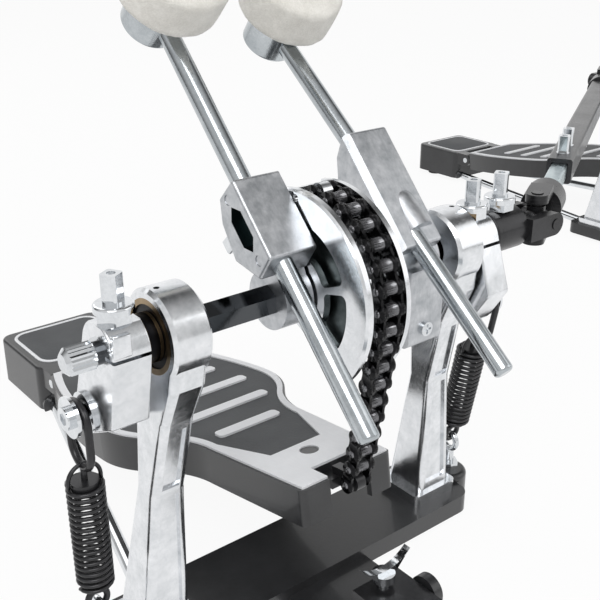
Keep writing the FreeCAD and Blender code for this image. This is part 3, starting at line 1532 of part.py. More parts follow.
board = raised(footboard())
bracket = raised(chain_bracket())
pad = raised(footboard_pad())
trim = [raised(shape) for shape in footboard_trim()]
add("footboard", board, raised(bracket_bolt()))
add("footboard_trim", *trim)
add("footboard_pad", pad)
add("chain_bracket", bracket)
add("slave_footboard", *at_slave(board, bracket, raised(bracket_bolt())))
add("slave_footboard_trim", *at_slave(*trim))
add("slave_footboard_pad", *at_slave(pad))

# Second pedal's axle and what turns with it

slave_tip_x = -(slave_rocker_outer + axle_stub)
slave_bar = hex_x(hex_flats, slave_tip_x, slave_joint_x - yoke_setback)
add("slave_axle", *at_slave(moved(slave_bar, lift)))
add("slave_bearing_races", *at_slave(inner_race(1, slave_half_spacing, yoke_gap)))
add("slave_bearing_races", *at_slave(inner_race(-1, slave_half_spacing, rocker_gap)))
add("slave_cam", *at_slave(moved(cam(), lift)))
add("slave_chain_wrap", *at_slave(*wrapped))
add("slave_chain_run", *at_slave(*hanging))
add("slave_rocker", *at_slave(rocker(-1, slave_face + rocker_gap, rocker_width, slave_arm_angle)))
add("slave_fasteners", *at_slave(*key_bolt(-slave_rocker_outer + rocker_width / 2, rocker_flat)))
add("slave_fasteners", *at_slave(stud(-1, slave_rocker_outer, slave_arm_angle)))
add("slave_fasteners", *at_slave(*yoke_key_bolt(slave_joint_x - yoke_setback - yoke_collar_length / 2)))
add("slave_yoke", axle_yoke(far_joint, -along_x))

for name, shapes in parts.items():
    whole = shapes[0] if len(shapes) == 1 else Part.makeCompound(shapes)
    whole.exportStep("parts/" + name + ".step")
    solids = whole.Solids
    print(name, len(solids), "solids", "valid" if whole.isValid() else "NOT VALID", round(whole.Volume))
print(len(parts), "nodes")
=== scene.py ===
import json
import math

import bpy
from mathutils import Matrix, Vector, noise

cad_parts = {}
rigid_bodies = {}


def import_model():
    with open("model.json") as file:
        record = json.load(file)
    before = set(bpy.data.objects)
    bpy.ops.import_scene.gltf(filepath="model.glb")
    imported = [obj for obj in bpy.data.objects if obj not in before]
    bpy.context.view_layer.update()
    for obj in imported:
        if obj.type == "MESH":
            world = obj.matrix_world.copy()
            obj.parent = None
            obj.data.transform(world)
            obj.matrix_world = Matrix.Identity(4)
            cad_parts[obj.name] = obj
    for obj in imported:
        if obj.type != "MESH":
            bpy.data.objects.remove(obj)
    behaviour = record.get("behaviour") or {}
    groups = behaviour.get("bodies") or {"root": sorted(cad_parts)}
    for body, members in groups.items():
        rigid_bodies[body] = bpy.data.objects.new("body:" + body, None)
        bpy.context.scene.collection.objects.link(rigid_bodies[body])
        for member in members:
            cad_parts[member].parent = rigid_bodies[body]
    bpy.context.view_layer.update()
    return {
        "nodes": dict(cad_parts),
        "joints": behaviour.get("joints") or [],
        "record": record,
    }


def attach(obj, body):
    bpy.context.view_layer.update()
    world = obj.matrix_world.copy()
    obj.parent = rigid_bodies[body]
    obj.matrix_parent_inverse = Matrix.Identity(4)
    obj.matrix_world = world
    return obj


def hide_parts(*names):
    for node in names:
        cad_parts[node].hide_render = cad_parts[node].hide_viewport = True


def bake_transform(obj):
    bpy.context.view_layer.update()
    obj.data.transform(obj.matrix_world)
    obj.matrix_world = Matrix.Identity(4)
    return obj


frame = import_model()
nodes = frame["nodes"]
joints = {joint["name"]: joint for joint in frame["joints"]}


def jointPlace(name):
    return Vector(joints[name]["pos_m"])


def jointWay(name):
    return Vector(joints[name]["axis"]).normalized()


# shader sums are written as plain arithmetic on sockets
class Signal:
    def __init__(self, tree, socket=None):
        self.tree = tree
        self.socket = socket

    # every node comes from here: its settings first, then the values or links of its sockets
    def make(self, kind, inputs, output=0, **settings):
        node = self.tree.nodes.new(kind)
        for key, value in settings.items():
            setattr(node, key, value)
        for place, value in inputs.items():
            if isinstance(value, Signal):
                value.plug(node, place)
            else:
                node.inputs[place].default_value = value
        return Signal(self.tree, node.outputs[output])

    def plug(self, node, socket):
        self.tree.links.new(self.socket, node.inputs[socket])

    def sum(self, operation, first, second, **settings):
        return self.make("ShaderNodeMath", {0: first, 1: second}, operation=operation, **settings)

    def __add__(self, other):
        return self.sum("ADD", self, other)

    def __radd__(self, other):
        return self.sum("ADD", other, self)

    def __sub__(self, other):
        return self.sum("SUBTRACT", self, other)

    def __rsub__(self, other):
        return self.sum("SUBTRACT", other, self)

    def __mul__(self, other):
        return self.sum("MULTIPLY", self, other)

    def __rmul__(self, other):
        return self.sum("MULTIPLY", other, self)

    def __neg__(self):
        return self * -1.0

    def __abs__(self):
        return self.sum("ABSOLUTE", self, 0.0)

    def clamp(self):
        return self.sum("ADD", self, 0.0, use_clamp=True)

    def within(self, low, high):
        return self.sum("GREATER_THAN", self, low) * self.sum("LESS_THAN", self, high)

    def ramp(self, low, high):
        return self.make("ShaderNodeMapRange", {"Value": self, "From Min": low, "From Max": high})

    def spread(self, low, high):
        return self * (high - low) + low

    def noise(self, scale, detail=3.0, rough=0.55):
        sockets = {"Vector": self, "Scale": scale, "Detail": detail, "Roughness": rough}
        return self.make("ShaderNodeTexNoise", sockets)

    def cells(self, scale):
        return self.make("ShaderNodeTexVoronoi", {"Vector": self, "Scale": scale}, feature="F1")

    def stretch(self, x, y, z):
        return self.make("ShaderNodeMapping", {"Vector": self, "Scale": (x, y, z)})

    def axis(self, number):
        return self.make("ShaderNodeSeparateXYZ", {0: self}, output=number)

    def vector(self, operation, other):
        sockets = {0: self, 1: tuple(other)}
        return self.make("ShaderNodeVectorMath", sockets, output=1, operation=operation)

    def along(self, way):
        return self.vector("DOT_PRODUCT", way)

    # inside a circle about a line that runs across the pedal
    def near(self, point, reach):
        away = self.stretch(0.0, 1.0, 1.0).vector("DISTANCE", (0.0, *point))
        return away.sum("LESS_THAN", away, reach)

    # from the first colour to the second, each a tone or a signal
    def mix(self, first, second):
        first, second = [end if isinstance(end, Signal) else (*end, 1.0) for end in (first, second)]
        sockets = {0: self, 6: first, 7: second}
        return self.make("ShaderNodeMix", sockets, output=2, data_type="RGBA")


def newMaterial(name, constants):
    material = bpy.data.materials.new(name)
    material.use_nodes = True
    tree = material.node_tree
    shader = tree.nodes["Principled BSDF"]
    for key, value in constants.items():
        shader.inputs[key].default_value = value
    return material, shader, Signal(tree).make("ShaderNodeTexCoord", {}, output="Object")


def bump(height, shader, depth=1.0, strength=0.35):
    sockets = {"Height": height, "Distance": depth, "Strength": strength}
    height.make("ShaderNodeBump", sockets).plug(shader, "Normal")


# what all the metals share
metalBase = {"detail": 5.0, "rough": 0.62, "cloudShare": 0.7, "tones": (0.3, 0.7),
             "polish": (0.25, 0.75), "swell": 0.25, "rippleScale": 95.0, "rippleDetail": 2.0,
             "coatRoughness": 0.08}


# dark and light tones, low and high roughness, height and scale of the grain, where a tint goes and
# its colour, which on some looks is painted shade
def metal(name, dark, light, low, high, grain, grainScale, metallic=1.0, coat=0.0, brushed=None,
          ripple=0.0, mottle=38.0, tintAndShade=None, tintAndShadeColour=None):
    base = metalBase
    material, shader, place = newMaterial(name, {"Metallic": metallic, "Coat Weight": coat,
                                                 "Coat Roughness": base["coatRoughness"]})
    cloud = place.noise(mottle, base["detail"], base["rough"])
    lay = place.stretch(*brushed) if brushed else place
    fine = lay.noise(grainScale, base["detail"], base["rough"])
    tone = cloud * base["cloudShare"] + fine * (1 - base["cloudShare"])
    colour = tone.ramp(*base["tones"]).mix(dark, light)
    # a real tint on some looks, painted shade on others
    if tintAndShade:
        colour = tintAndShade(place).mix(colour, tintAndShadeColour)
    colour.plug(shader, "Base Color")
    gloss = (cloud * 0.5 + fine * 0.5).ramp(*base["polish"])
    gloss.spread(low, high).plug(shader, "Roughness")
    height = fine * grain + cloud * (grain * base["swell"])
    if ripple:
        height = height + place.noise(base["rippleScale"], base["rippleDetail"]) * ripple
    bump(height, shader)
    return material


castLook = {"dark": (0.63, 0.65, 0.67), "light": (0.88, 0.89, 0.91), "low": 0.12, "high": 0.27,
            "grain": 0.00003, "grainScale": 420.0, "ripple": 0.00018, "mottle": 120.0}
holderLook = {"dark": (0.34, 0.36, 0.38), "light": (0.68, 0.69, 0.71), "low": 0.26, "high": 0.46,
              "grain": 0.00012, "grainScale": 700.0, "brushed": (1.0, 0.4, 0.4),
              "ripple": 0.00014, "mottle": 140.0}
chromeLook = {"dark": (0.56, 0.58, 0.60), "light": (0.84, 0.86, 0.88), "low": 0.05, "high": 0.13,
              "grain": 0.00003, "grainScale": 700.0}
rodLook = {"dark": (0.34, 0.37, 0.39), "light": (0.58, 0.61, 0.63), "low": 0.10, "high": 0.22,
           "grain": 0.00004, "grainScale": 700.0, "mottle": 60.0}
brushedLook = {"dark": (0.50, 0.55, 0.57), "light": (0.72, 0.77, 0.79), "low": 0.20, "high": 0.34,
               "grain": 0.00005, "grainScale": 900.0, "brushed": (0.15, 0.15, 1.0)}
trimLook = {"dark": (0.78, 0.79, 0.81), "light": (0.90, 0.91, 0.93), "low": 0.34, "high": 0.50,
            "grain": 0.00006, "grainScale": 800.0, "metallic": 0.2, "brushed": (1.0, 0.1, 1.0)}
blackCastLook = {"dark": (0.010, 0.010, 0.011), "light": (0.026, 0.027, 0.029), "low": 0.26,
                 "high": 0.44, "grain": 0.00012, "grainScale": 900.0, "metallic": 0.0, "coat": 0.35}
blackSteelLook = {"dark": (0.012, 0.012, 0.013), "light": (0.040, 0.040, 0.043), "low": 0.22,
                  "high": 0.42, "grain": 0.00006, "grainScale": 600.0, "metallic": 0.55,
                  "coat": 0.2}
# the cam web's dark tones are painted shade in the pockets
webShadeLook = {"dark": (0.040, 0.050, 0.052), "light": (0.130, 0.150, 0.152), "low": 0.34, "high": 0.52,
           "grain": 0.00010, "grainScale": 600.0, "ripple": 0.00015, "mottle": 140.0}

castMetal = metal("castMetal", **castLook)
farHolderMetal = metal("farHolderMetal", **holderLook)
chrome = metal("brightPlate", **chromeLook)
rodMetal = metal("rodPlate", **rodLook)
brushedBar = metal("drawnSteel", **brushedLook)
trimMetal = metal("trimMetal", **trimLook)
blackCast = metal("blackCasting", **blackCastLook)
blackSteel = metal("blackSteel", **blackSteelLook)
webShadeMetal = metal("camWebPaintedShade", **webShadeLook)

# painted shade: the cam is darkened between its plates, behind the windows, where shade falls
camPaintedShade = {"sides": (-0.0086, 0.01045), "reach": 0.0345, "colour": (0.030, 0.044, 0.047)}


def camMetalWithShade(name, strike):
    centre = jointPlace(strike)

    def tintAndShade(place):
        inner = place.axis(0).within(*[centre.x + side for side in camPaintedShade["sides"]])
        return inner * place.near(centre.yz, camPaintedShade["reach"])

    return metal(name, **castLook, tintAndShade=tintAndShade, tintAndShadeColour=camPaintedShade["colour"])


# painted shade: the holder's window is darkened inside, in a frame that leans with the beater
slotPaintedShade = {"sides": (0.0300, 0.0393), "lean": 43.8, "across": (0.0146, 0.0251),
             "up": (0.0155, 0.0385), "colour": (0.030, 0.045, 0.047)}


def slotShadeMask(place):
    axle = jointPlace("primary_strike")
    lean = math.radians(slotPaintedShade["lean"])
    forward = Vector((0.0, math.cos(lean), math.sin(lean)))
    upward = Vector((0.0, -math.sin(lean), math.cos(lean)))
    across = (place.along(forward) - axle.dot(forward)).within(*slotPaintedShade["across"])
    up = (place.along(upward) - axle.dot(upward)).within(*slotPaintedShade["up"])
    return place.axis(0).within(*slotPaintedShade["sides"]) * across * up


holderMetalWithShade = metal("holderMetalWithShade", **holderLook, tintAndShade=slotShadeMask, tintAndShadeColour=slotPaintedShade["colour"])

# dark plated bar with a bright end and a dark groove in it
axleShade = {"bar": (-0.2, 0.0955), "groove": (0.1120, 0.1146), "colour": (0.085, 0.090, 0.096)}


def axleStain(place):
    side = place.axis(0)
    return (side.within(*axleShade["bar"]) + side.within(*axleShade["groove"])).clamp()


axleMetal = metal("axlePlate", **chromeLook, tintAndShade=axleStain, tintAndShadeColour=axleShade["colour"])

# bearings: a bronze line next to the post, the rest darkened as painted shade
bearingLook = {"dark": (0.20, 0.14, 0.08), "light": (0.44, 0.33, 0.20), "low": 0.24, "high": 0.42,
               "grain": 0.00005, "grainScale": 900.0, "brushed": (1.0, 0.2, 0.2)}
bearingPaintedShade = {"bronze": (0.0886, 0.0900), "colour": (0.010, 0.010, 0.011)}


def bearingShadeMask(place):
    return 1.0 - abs(place.axis(0)).within(*bearingPaintedShade["bronze"])


bearingBronzeAndShade = metal("bearingBronzeAndShade", **bearingLook, tintAndShade=bearingShadeMask,
                     tintAndShadeColour=bearingPaintedShade["colour"])

# pin ends and rollers are barer than the blacked plates
chainLook = {"dark": (0.004, 0.004, 0.005), "light": (0.014, 0.014, 0.015), "low": 0.14,
             "high": 0.28, "grain": 0.00004, "grainScale": 700.0, "metallic": 0.8}
chainShade = {"middle": -0.0010, "plates": (0.0034, 0.0064), "colour": (0.19, 0.19, 0.20)}


def chainMetal(name, strike):
    middle = jointPlace(strike).x + chainShade["middle"]

    def tintAndShade(place):
        return 1.0 - abs(place.axis(0) - middle).within(*chainShade["plates"])

    return metal(name, **chainLook, tintAndShade=tintAndShade, tintAndShadeColour=chainShade["colour"])


# grip pad: dull dark sheet with a fine pebble
gripLook = {"dark": (0.055, 0.058, 0.062), "light": (0.105, 0.110, 0.115), "cloud": 24.0,
            "pebble": 900.0, "cloudShare": 0.8, "pebbleShare": 0.3, "tones": (0.3, 0.8),
            "roughness": (0.52, 0.67), "specular": 0.35, "depth": 0.0002, "strength": 0.5}


def gripSheet():
    look = gripLook
    constants = {"Metallic": 0.0, "Specular IOR Level": look["specular"]}
    material, shader, place = newMaterial("gripSheet", constants)
    pebble = place.cells(look["pebble"])
    tone = place.noise(look["cloud"]) * look["cloudShare"] + pebble * look["pebbleShare"]
    tone.ramp(*look["tones"]).mix(look["dark"], look["light"]).plug(shader, "Base Color")
    pebble.spread(*look["roughness"]).plug(shader, "Roughness")
    bump(1.0 - pebble, shader, look["depth"], look["strength"])
    return material


# pressed felt: matted short fibres with a pale uneven tone; a noise is scale, detail, roughness
feltLook = {"dark": (0.60, 0.58, 0.53), "light": (0.86, 0.84, 0.79), "lay": (1.0, 0.35, 1.0),
            "fibre": (1500.0, 6.0, 0.7), "matting": (160.0, 5.0, 0.6), "tones": (0.3, 0.7),
            "roughness": (0.86, 0.96), "sheen": 0.35, "sheenRoughness": 0.6, "fibreHeight": 0.6,
            "depth": 0.0006, "strength": 0.6}


def pressedFelt():
    look = feltLook
    constants = {"Metallic": 0.0, "Sheen Weight": look["sheen"],
                 "Sheen Roughness": look["sheenRoughness"]}
    material, shader, place = newMaterial("pressedFelt", constants)
    fibre = place.stretch(*look["lay"]).noise(*look["fibre"])
    matting = place.noise(*look["matting"])
    tone = (fibre * 0.5 + matting * 0.5).ramp(*look["tones"])
    tone.mix(look["dark"], look["light"]).plug(shader, "Base Color")
    matting.spread(*look["roughness"]).plug(shader, "Roughness")
    bump(fibre * look["fibreHeight"] + matting, shader, look["depth"], look["strength"])
    return material


# feet: dull rubber with a fine speck
rubberLook = {"dark": (0.010, 0.010, 0.010), "light": (0.030, 0.030, 0.031), "speck": (700.0, 4.0),
              "tones": (0.3, 0.7), "roughness": (0.6, 0.8), "depth": 0.0002}


def rubberSkin():
    look = rubberLook
    material, shader, place = newMaterial("footRubber", {"Metallic": 0.0})
    speck = place.noise(*look["speck"])
    speck.ramp(*look["tones"]).mix(look["dark"], look["light"]).plug(shader, "Base Color")
    speck.spread(*look["roughness"]).plug(shader, "Roughness")
    bump(speck, shader, look["depth"])
    return material


# drawn bar, bright as far as its black yoke
barLook = {"silver": ((0.42, 0.50, 0.52), (0.66, 0.74, 0.76)),
           "black": ((0.012, 0.012, 0.013), (0.034, 0.034, 0.036)), "yokeEnd": (0.0428, 0.0432),
           "lay": (0.15, 0.15, 1.0), "grain": (900.0, 5.0, 0.62), "tones": (0.3, 0.7),
           "roughness": (0.22, 0.36), "metallic": (0.5, 1.0), "depth": 0.00005}


def twoToneBar():
    look = barLook
    material, shader, place = newMaterial("barAndYoke", {})
    way = jointWay("shaft_spin")
    station = place.along(way) - jointPlace("shaft_spin").dot(way)
    bright = station.ramp(*look["yokeEnd"])
    fine = place.stretch(*look["lay"]).noise(*look["grain"])
    silver, black = [fine.ramp(*look["tones"]).mix(*look[key]) for key in ("silver", "black")]
    bright.mix(black, silver).plug(shader, "Base Color")
    fine.spread(*look["roughness"]).plug(shader, "Roughness")
    bright.spread(*look["metallic"]).plug(shader, "Metallic")
    bump(fine, shader, look["depth"])
    return material


grip = gripSheet()
felt = pressedFelt()
rubber = rubberSkin()
print("materials made")

slotLooks = {"cast_silver": castMetal, "black_casting": blackCast, "chrome": chrome,
             "bearing_steel": bearingBronzeAndShade, "black_steel": blackSteel, "silver_bar": brushedBar,
             "silver_trim": trimMetal, "grip_pad": grip, "felt": felt, "rubber": rubber}
ownLooks = {"primary_axle": axleMetal, "beater_rod": rodMetal, "secondary_beater_rod": rodMetal,
            "beater_holder": holderMetalWithShade, "secondary_beater_holder": farHolderMetal,
            "drive_bar": twoToneBar(), "cam": camMetalWithShade("camMetalWithShade", "primary_strike"),
            "slave_cam": camMetalWithShade("slaveCamMetalWithShade", "slave_strike")}
for entry in frame["record"]["subparts"]:
    mesh = nodes[entry["node"]].data
    mesh.materials.clear()
    mesh.materials.append(ownLooks.get(entry["node"], slotLooks[entry["material_slot"]]))
print("node looks set")


def active(obj):
    bpy.ops.object.select_all(action="DESELECT")
    obj.select_set(True)
    bpy.context.view_layer.objects.active = obj


# puts an object's place into its mesh
def settle(obj):
    active(obj)
    bpy.ops.object.transform_apply(location=True, rotation=True, scale=True)
    return obj


def addModifier(obj, kind, **settings):
    modifier = obj.modifiers.new(kind.title(), kind)
    for key, value in settings.items():
        setattr(modifier, key, value)
    active(obj)
    bpy.ops.object.modifier_apply(modifier=modifier.name)


def editAll(obj):
    active(obj)
    bpy.ops.object.mode_set(mode="EDIT")
    bpy.ops.mesh.select_all(action="SELECT")


def leaveEdit():
    bpy.ops.object.mode_set(mode="OBJECT")


def softEdges(obj, degrees):
    active(obj)
    bpy.ops.object.shade_smooth_by_angle(angle=math.radians(degrees))


def twinOf(piece, name):
    active(piece)
    bpy.ops.object.duplicate()
    twin = bpy.context.object
    twin.name = name
    return twin


mergeReach = 0.000002


# copy of solid pieces, as one mesh with its doubles merged
def copyOf(name, *sources):
    bpy.ops.object.select_all(action="DESELECT")
    for source in sources:
        nodes[source].select_set(True)
    bpy.context.view_layer.objects.active = nodes[sources[0]]
    bpy.ops.object.duplicate()
    if len(sources) > 1:
        bpy.ops.object.join()
    piece = bpy.context.object
    piece.name = name
    bpy.ops.object.parent_clear(type="CLEAR_KEEP_TRANSFORM")
    editAll(piece)
    bpy.ops.mesh.remove_doubles(threshold=mergeReach)
    leaveEdit()
    piece.data.materials.clear()
    return piece


# springs: one wire wound between the plugs of hook and link
springLook = {"turns": 18, "meanRadius": 0.0075, "wire": 0.00095, "start": 0.0125, "sides": 10,
              "steps": 20, "eyeLeg": 0.0022, "eyeSteps": 40}


# bent-up end of the wire, over the foot of the link
def springEye(coil, reach):
    look = springLook
    bpy.ops.object.select_all(action="DESELECT")
    bpy.ops.mesh.primitive_torus_add(major_segments=look["eyeSteps"], minor_segments=look["sides"],
                                     major_radius=look["meanRadius"], minor_radius=look["wire"],
                                     rotation=(math.pi / 2, 0, 0))
    eye = settle(bpy.context.object)
    editAll(eye)
    bpy.ops.mesh.bisect(plane_co=(0, 0, 0), plane_no=(0, 0, 1), clear_inner=True)
    bpy.ops.mesh.extrude_region_move(TRANSFORM_OT_translate={"value": (0, 0, -look["eyeLeg"])})
    bpy.ops.mesh.edge_face_add()
    bpy.ops.mesh.select_all(action="SELECT")
    bpy.ops.transform.translate(value=(0, 0, reach - 3 * look["wire"] + look["eyeLeg"]))
    leaveEdit()
    active(coil)
    eye.select_set(True)
    bpy.ops.object.join()
    # close the cut ends of the wire
    editAll(coil)
    bpy.ops.mesh.fill_holes(sides=0)
    bpy.ops.mesh.normals_make_consistent(inside=False)
    leaveEdit()


def windSpring(node):
    look = springLook
    anchor = jointPlace(node + "_swing")
    along = jointWay(node + "_stretch")
    top = max((vertex.co - anchor).dot(along) for vertex in nodes[node].data.vertices)
    reach = top - look["start"]
    bpy.ops.object.select_all(action="DESELECT")
    bpy.ops.mesh.primitive_circle_add(vertices=look["sides"], radius=look["wire"],
                                      location=(look["meanRadius"], 0, 0),
                                      rotation=(math.pi / 2, 0, 0))
    coil = settle(bpy.context.object)
    coil.name = node + "Coil"
    rise = (reach - 2 * look["wire"]) / look["turns"]
    addModifier(coil, "SCREW", axis="Z", iterations=look["turns"], screw_offset=rise,
                steps=look["steps"], render_steps=look["steps"], use_merge_vertices=True)
    springEye(coil, reach)
    tilt = along.to_track_quat("Z", "Y").to_matrix().to_4x4()
    base = Vector((0, 0, look["start"] + look["wire"]))
    coil.matrix_world = Matrix.Translation(anchor) @ tilt @ Matrix.Translation(base)
    settle(coil)
    bpy.ops.object.shade_smooth()
    coil.data.materials.append(blackSteel)
    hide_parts(node)
    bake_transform(coil)


windSpring("spring")
windSpring("secondary_spring")
windSpring("slave_spring")
print("springs wound")

# chains: one piece, wrap and run joined, from the anchor on the cam to the toe of the footboard
chainLine = {"start": (0.0309, 0.0299), "end": (0.0420, -0.0110), "smooth": 32}


def flexChain(prefix, strike):
    chain = copyOf(prefix + "chainPiece", prefix + "chain_wrap", prefix + "chain_run")
    chain.data.materials.append(chainMetal(prefix + "chainSteel", strike))
    softEdges(chain, chainLine["smooth"])
    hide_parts(prefix + "chain_wrap", prefix + "chain_run")
    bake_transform(chain)


flexChain("", "primary_strike")
flexChain("slave_", "slave_strike")
print("chains made")

# beater heads: pressed felt with a little uneven surface
headShape = {"voxel": 0.0011, "soften": 0.5, "softenSteps": 3, "lump": 0.0004,
             "lumpScale": 130.0, "tuft": 0.00022, "tuftScale": 900.0}


def feltHead(prefix, body):
    shape = headShape
    head = copyOf(prefix + "feltHead", prefix + "beater_felt")
    addModifier(head, "REMESH", mode="VOXEL", voxel_size=shape["voxel"])
    addModifier(head, "SMOOTH", factor=shape["soften"], iterations=shape["softenSteps"])
    for vertex in head.data.vertices:
        lump = abs(noise.noise(vertex.co * shape["lumpScale"])) * shape["lump"]
        tuft = abs(noise.noise(vertex.co * shape["tuftScale"])) * shape["tuft"]
        vertex.co -= vertex.normal * (lump + tuft)
    active(head)
    bpy.ops.object.shade_smooth()
    head.data.materials.clear()
    head.data.materials.append(felt)
    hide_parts(prefix + "beater_felt")
    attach(head, body)


feltHead("", "primary_axle")
feltHead("secondary_", "secondary_axle")
print("felt heads made")

# clamp lug on the front of the right rocker
lugShape = {"centre": (0.1080, 0.0122, 0.1743), "size": (0.0078, 0.0034, 0.0092), "edge": 0.0006,
            "edgeSteps": 3, "smooth": 40}
bpy.ops.object.select_all(action="DESELECT")
bpy.ops.mesh.primitive_cube_add(size=1.0, location=lugShape["centre"])
lug = bpy.context.object
lug.name = "rockerLug"
lug.scale = lugShape["size"]
settle(lug)
editAll(lug)
bpy.ops.mesh.bevel(offset=lugShape["edge"], segments=lugShape["edgeSteps"], affect="EDGES")
leaveEdit()
softEdges(lug, lugShape["smooth"])
lug.data.materials.append(castMetal)
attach(lug, "primary_axle")
print("rocker lug made")

# web behind the cam's windows, which makes them pockets; its dark colour is painted shade
webShape = {"outer": 0.0343, "inner": 0.0136, "back": 0.0066, "thickness": 0.0016, "edge": 0.0002,
            "edgeSteps": 2, "sides": 96, "cuts": (-117.2, 174.2), "cutReach": 0.0142, "smooth": 40}


def shapeWeb():
    shape = webShape
    bpy.ops.object.select_all(action="DESELECT")
    bpy.ops.mesh.primitive_circle_add(vertices=shape["sides"], radius=shape["outer"],
                                      rotation=(0, math.pi / 2, 0))
    web = settle(bpy.context.object)
    share = shape["inner"] / shape["outer"]
    editAll(web)
    bpy.ops.mesh.extrude_region_move()
    bpy.ops.transform.resize(value=(1, share, share), center_override=(0, 0, 0))
    # straight backs, along those of the plates
    for angle in [math.radians(cut) for cut in shape["cuts"]]:
        way = Vector((0, math.cos(angle), math.sin(angle)))
        bpy.ops.mesh.select_all(action="SELECT")
        bpy.ops.mesh.bisect(plane_co=way * shape["cutReach"], plane_no=way, clear_outer=True)
    bpy.ops.mesh.select_all(action="SELECT")
    bpy.ops.mesh.normals_make_consistent(inside=False)
    leaveEdit()
    addModifier(web, "SOLIDIFY", thickness=shape["thickness"], offset=0.0)
    addModifier(web, "BEVEL", width=shape["edge"], segments=shape["edgeSteps"])
    softEdges(web, shape["smooth"])
    web.data.materials.append(webShadeMetal)
    return web


def placeWeb(web, strike, body):
    web.location = jointPlace(strike) + Vector((webShape["back"] + webShape["thickness"] / 2, 0, 0))
    settle(web)
    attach(web, body)


camWeb = shapeWeb()
camWeb.name = "camWeb"
slaveCamWeb = twinOf(camWeb, "slaveCamWeb")
placeWeb(camWeb, "primary_strike", "primary_axle")
placeWeb(slaveCamWeb, "slave_strike", "slave_axle")
print("cam webs made")

# heel plates' tops: a grip sheet inside a bright line
heelShape = {"middle": (0.0, -0.2800, 0.0370), "half": (0.0325, 0.0285), "corner": 0.0110,
             "cornerSteps": 8, "line": 0.0024, "lineRise": 0.0014, "sheetRise": 0.0010,
             "edge": 0.0003, "edgeSteps": 2, "smooth": 40}


def shapeHeelTop():
    shape = heelShape
    bpy.ops.object.select_all(action="DESELECT")
    bpy.ops.mesh.primitive_plane_add(size=2.0, location=shape["middle"])
    line = bpy.context.object
    line.scale = (*shape["half"], 1.0)
    settle(line)
    editAll(line)
    bpy.ops.mesh.bevel(offset=shape["corner"], segments=shape["cornerSteps"], affect="VERTICES")
    bpy.ops.mesh.select_all(action="SELECT")
    bpy.ops.mesh.inset(thickness=shape["line"])
    bpy.ops.mesh.separate(type="SELECTED")
    leaveEdit()
    sheet = next(obj for obj in bpy.context.selected_objects if obj != line)
    for piece, rise, finish in ((line, "lineRise", trimMetal), (sheet, "sheetRise", grip)):
        addModifier(piece, "SOLIDIFY", thickness=shape[rise], offset=0.0)
        addModifier(piece, "BEVEL", width=shape["edge"], segments=shape["edgeSteps"])
        softEdges(piece, shape["smooth"])
        piece.data.materials.append(finish)
    return line, sheet


heelLine, heelSheet = shapeHeelTop()
heelLine.name, heelSheet.name = "primaryHeelLine", "primaryHeelSheet"
slaveShift = jointPlace("slave_strike") - jointPlace("primary_strike")
for piece, name, slot in ((heelLine, "slaveHeelLine", "silver_trim"),
                          (heelSheet, "slaveHeelSheet", "grip_pad")):
    twin = twinOf(piece, name)
    twin.location = slaveShift
    for top in (piece, settle(twin)):
        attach(top, "frame")
print("heel tops made")

# photographed view: raised a little, from the drum side and the player's right
cameraLook = {"place": (0.2560, 0.3033, 0.3298), "aim": (-0.576, -0.716, -0.393), "lens": 56.8,
              "sensor": 36.0, "farEnd": 20.0}
bpy.ops.object.camera_add(location=cameraLook["place"])
camera = bpy.context.object
camera.rotation_euler = Vector(cameraLook["aim"]).to_track_quat("-Z", "Y").to_euler()
camera.data.lens = cameraLook["lens"]
camera.data.sensor_width = cameraLook["sensor"]
camera.data.dof.use_dof = False
camera.data.clip_end = cameraLook["farEnd"]
bpy.context.scene.camera = camera

# the white background also shows in metal
shownTo = ("Is Camera Ray", "Is Glossy Ray", "Is Transmission Ray")


def raysIn(signal):
    return [signal.make("ShaderNodeLightPath", {}, output=ray) for ray in shownTo]


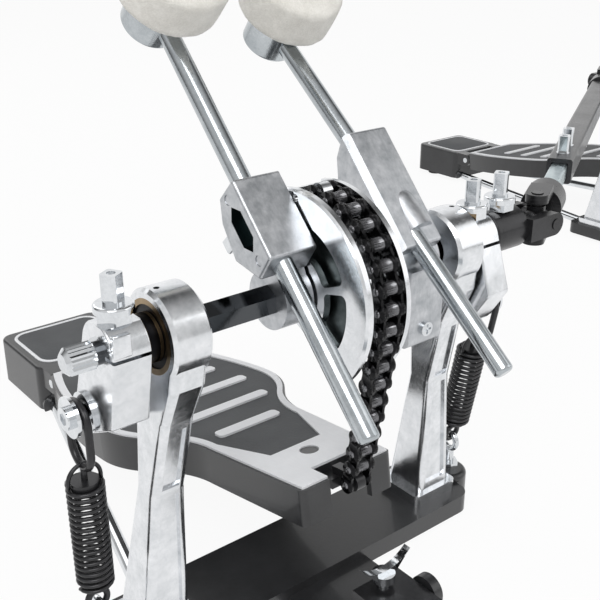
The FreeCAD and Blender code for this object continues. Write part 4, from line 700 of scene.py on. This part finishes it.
# floor: almost evenly white, with the shadows kept faint
floorLook = {"size": 12.0, "level": -0.0005, "tones": ((0.90, 0.90, 0.90), (0.94, 0.94, 0.94)),
             "cloud": 2.0, "roughness": 0.9, "white": 0.93}
bpy.ops.object.select_all(action="DESELECT")
bpy.ops.mesh.primitive_plane_add(size=floorLook["size"], location=(0, 0, floorLook["level"]))
floor = bpy.context.object
floor.name = "floor"
paleFloor, floorShader, floorPlace = newMaterial("paleFloor", {"Roughness": floorLook["roughness"]})
floorPlace.noise(floorLook["cloud"]).mix(*floorLook["tones"]).plug(floorShader, "Base Color")
direct, inMetal, inGlass = raysIn(floorPlace)
share = (direct + inMetal + inGlass).clamp() * floorLook["white"]
lit = Signal(paleFloor.node_tree, floorShader.outputs[0])
white = share.make("ShaderNodeEmission", {"Strength": 1.0})
surface = share.make("ShaderNodeMixShader", {0: share, 1: lit, 2: white})
surface.plug(paleFloor.node_tree.nodes["Material Output"], "Surface")
floor.data.materials.append(paleFloor)

# place, width and power of each soft lamp
lamps = {"key": ((0.9, 0.9, 1.6), 1.2, 16.0), "fill": ((-1.3, 0.9, 0.8), 1.2, 5.0),
         "back": ((0.2, -1.6, 1.5), 1.4, 8.0)}
lampTarget = Vector((0, 0, 0.12))
for name, (place, size, power) in lamps.items():
    bpy.ops.object.light_add(type="AREA", location=place)
    lamp = bpy.context.object
    lamp.name = name + "Lamp"
    lamp.rotation_euler = (lampTarget - Vector(place)).to_track_quat("-Z", "Y").to_euler()
    lamp.data.size = size
    lamp.data.energy = power

# studio: bright on the camera's side, white backdrop beyond the object, dark between
studioLook = {"front": (0.576, 0.716, 0.393), "rise": (-0.15, 0.55), "tones": (0.04, 0.77),
              "backdrop": (0.15, 0.55)}
studio = bpy.data.worlds.new("studio")
bpy.context.scene.world = studio
studio.use_nodes = True
sky = Signal(studio.node_tree).make("ShaderNodeTexCoord", {}, output="Generated")
front = sky.along(studioLook["front"])
shade = front.ramp(*studioLook["rise"]).spread(*studioLook["tones"])
bands = shade.clamp().mix((0.0, 0.0, 0.0), (1.0, 1.0, 1.0))
direct, inMetal, inGlass = raysIn(sky)
seen = (direct + (inMetal + inGlass) * (-front).ramp(*studioLook["backdrop"])).clamp()
background = studio.node_tree.nodes["Background"]
seen.mix(bands, (1.0, 1.0, 1.0)).plug(background, "Color")
background.inputs["Strength"].default_value = 1.0
bpy.context.scene.view_settings.view_transform = "Standard"
print("studio set")
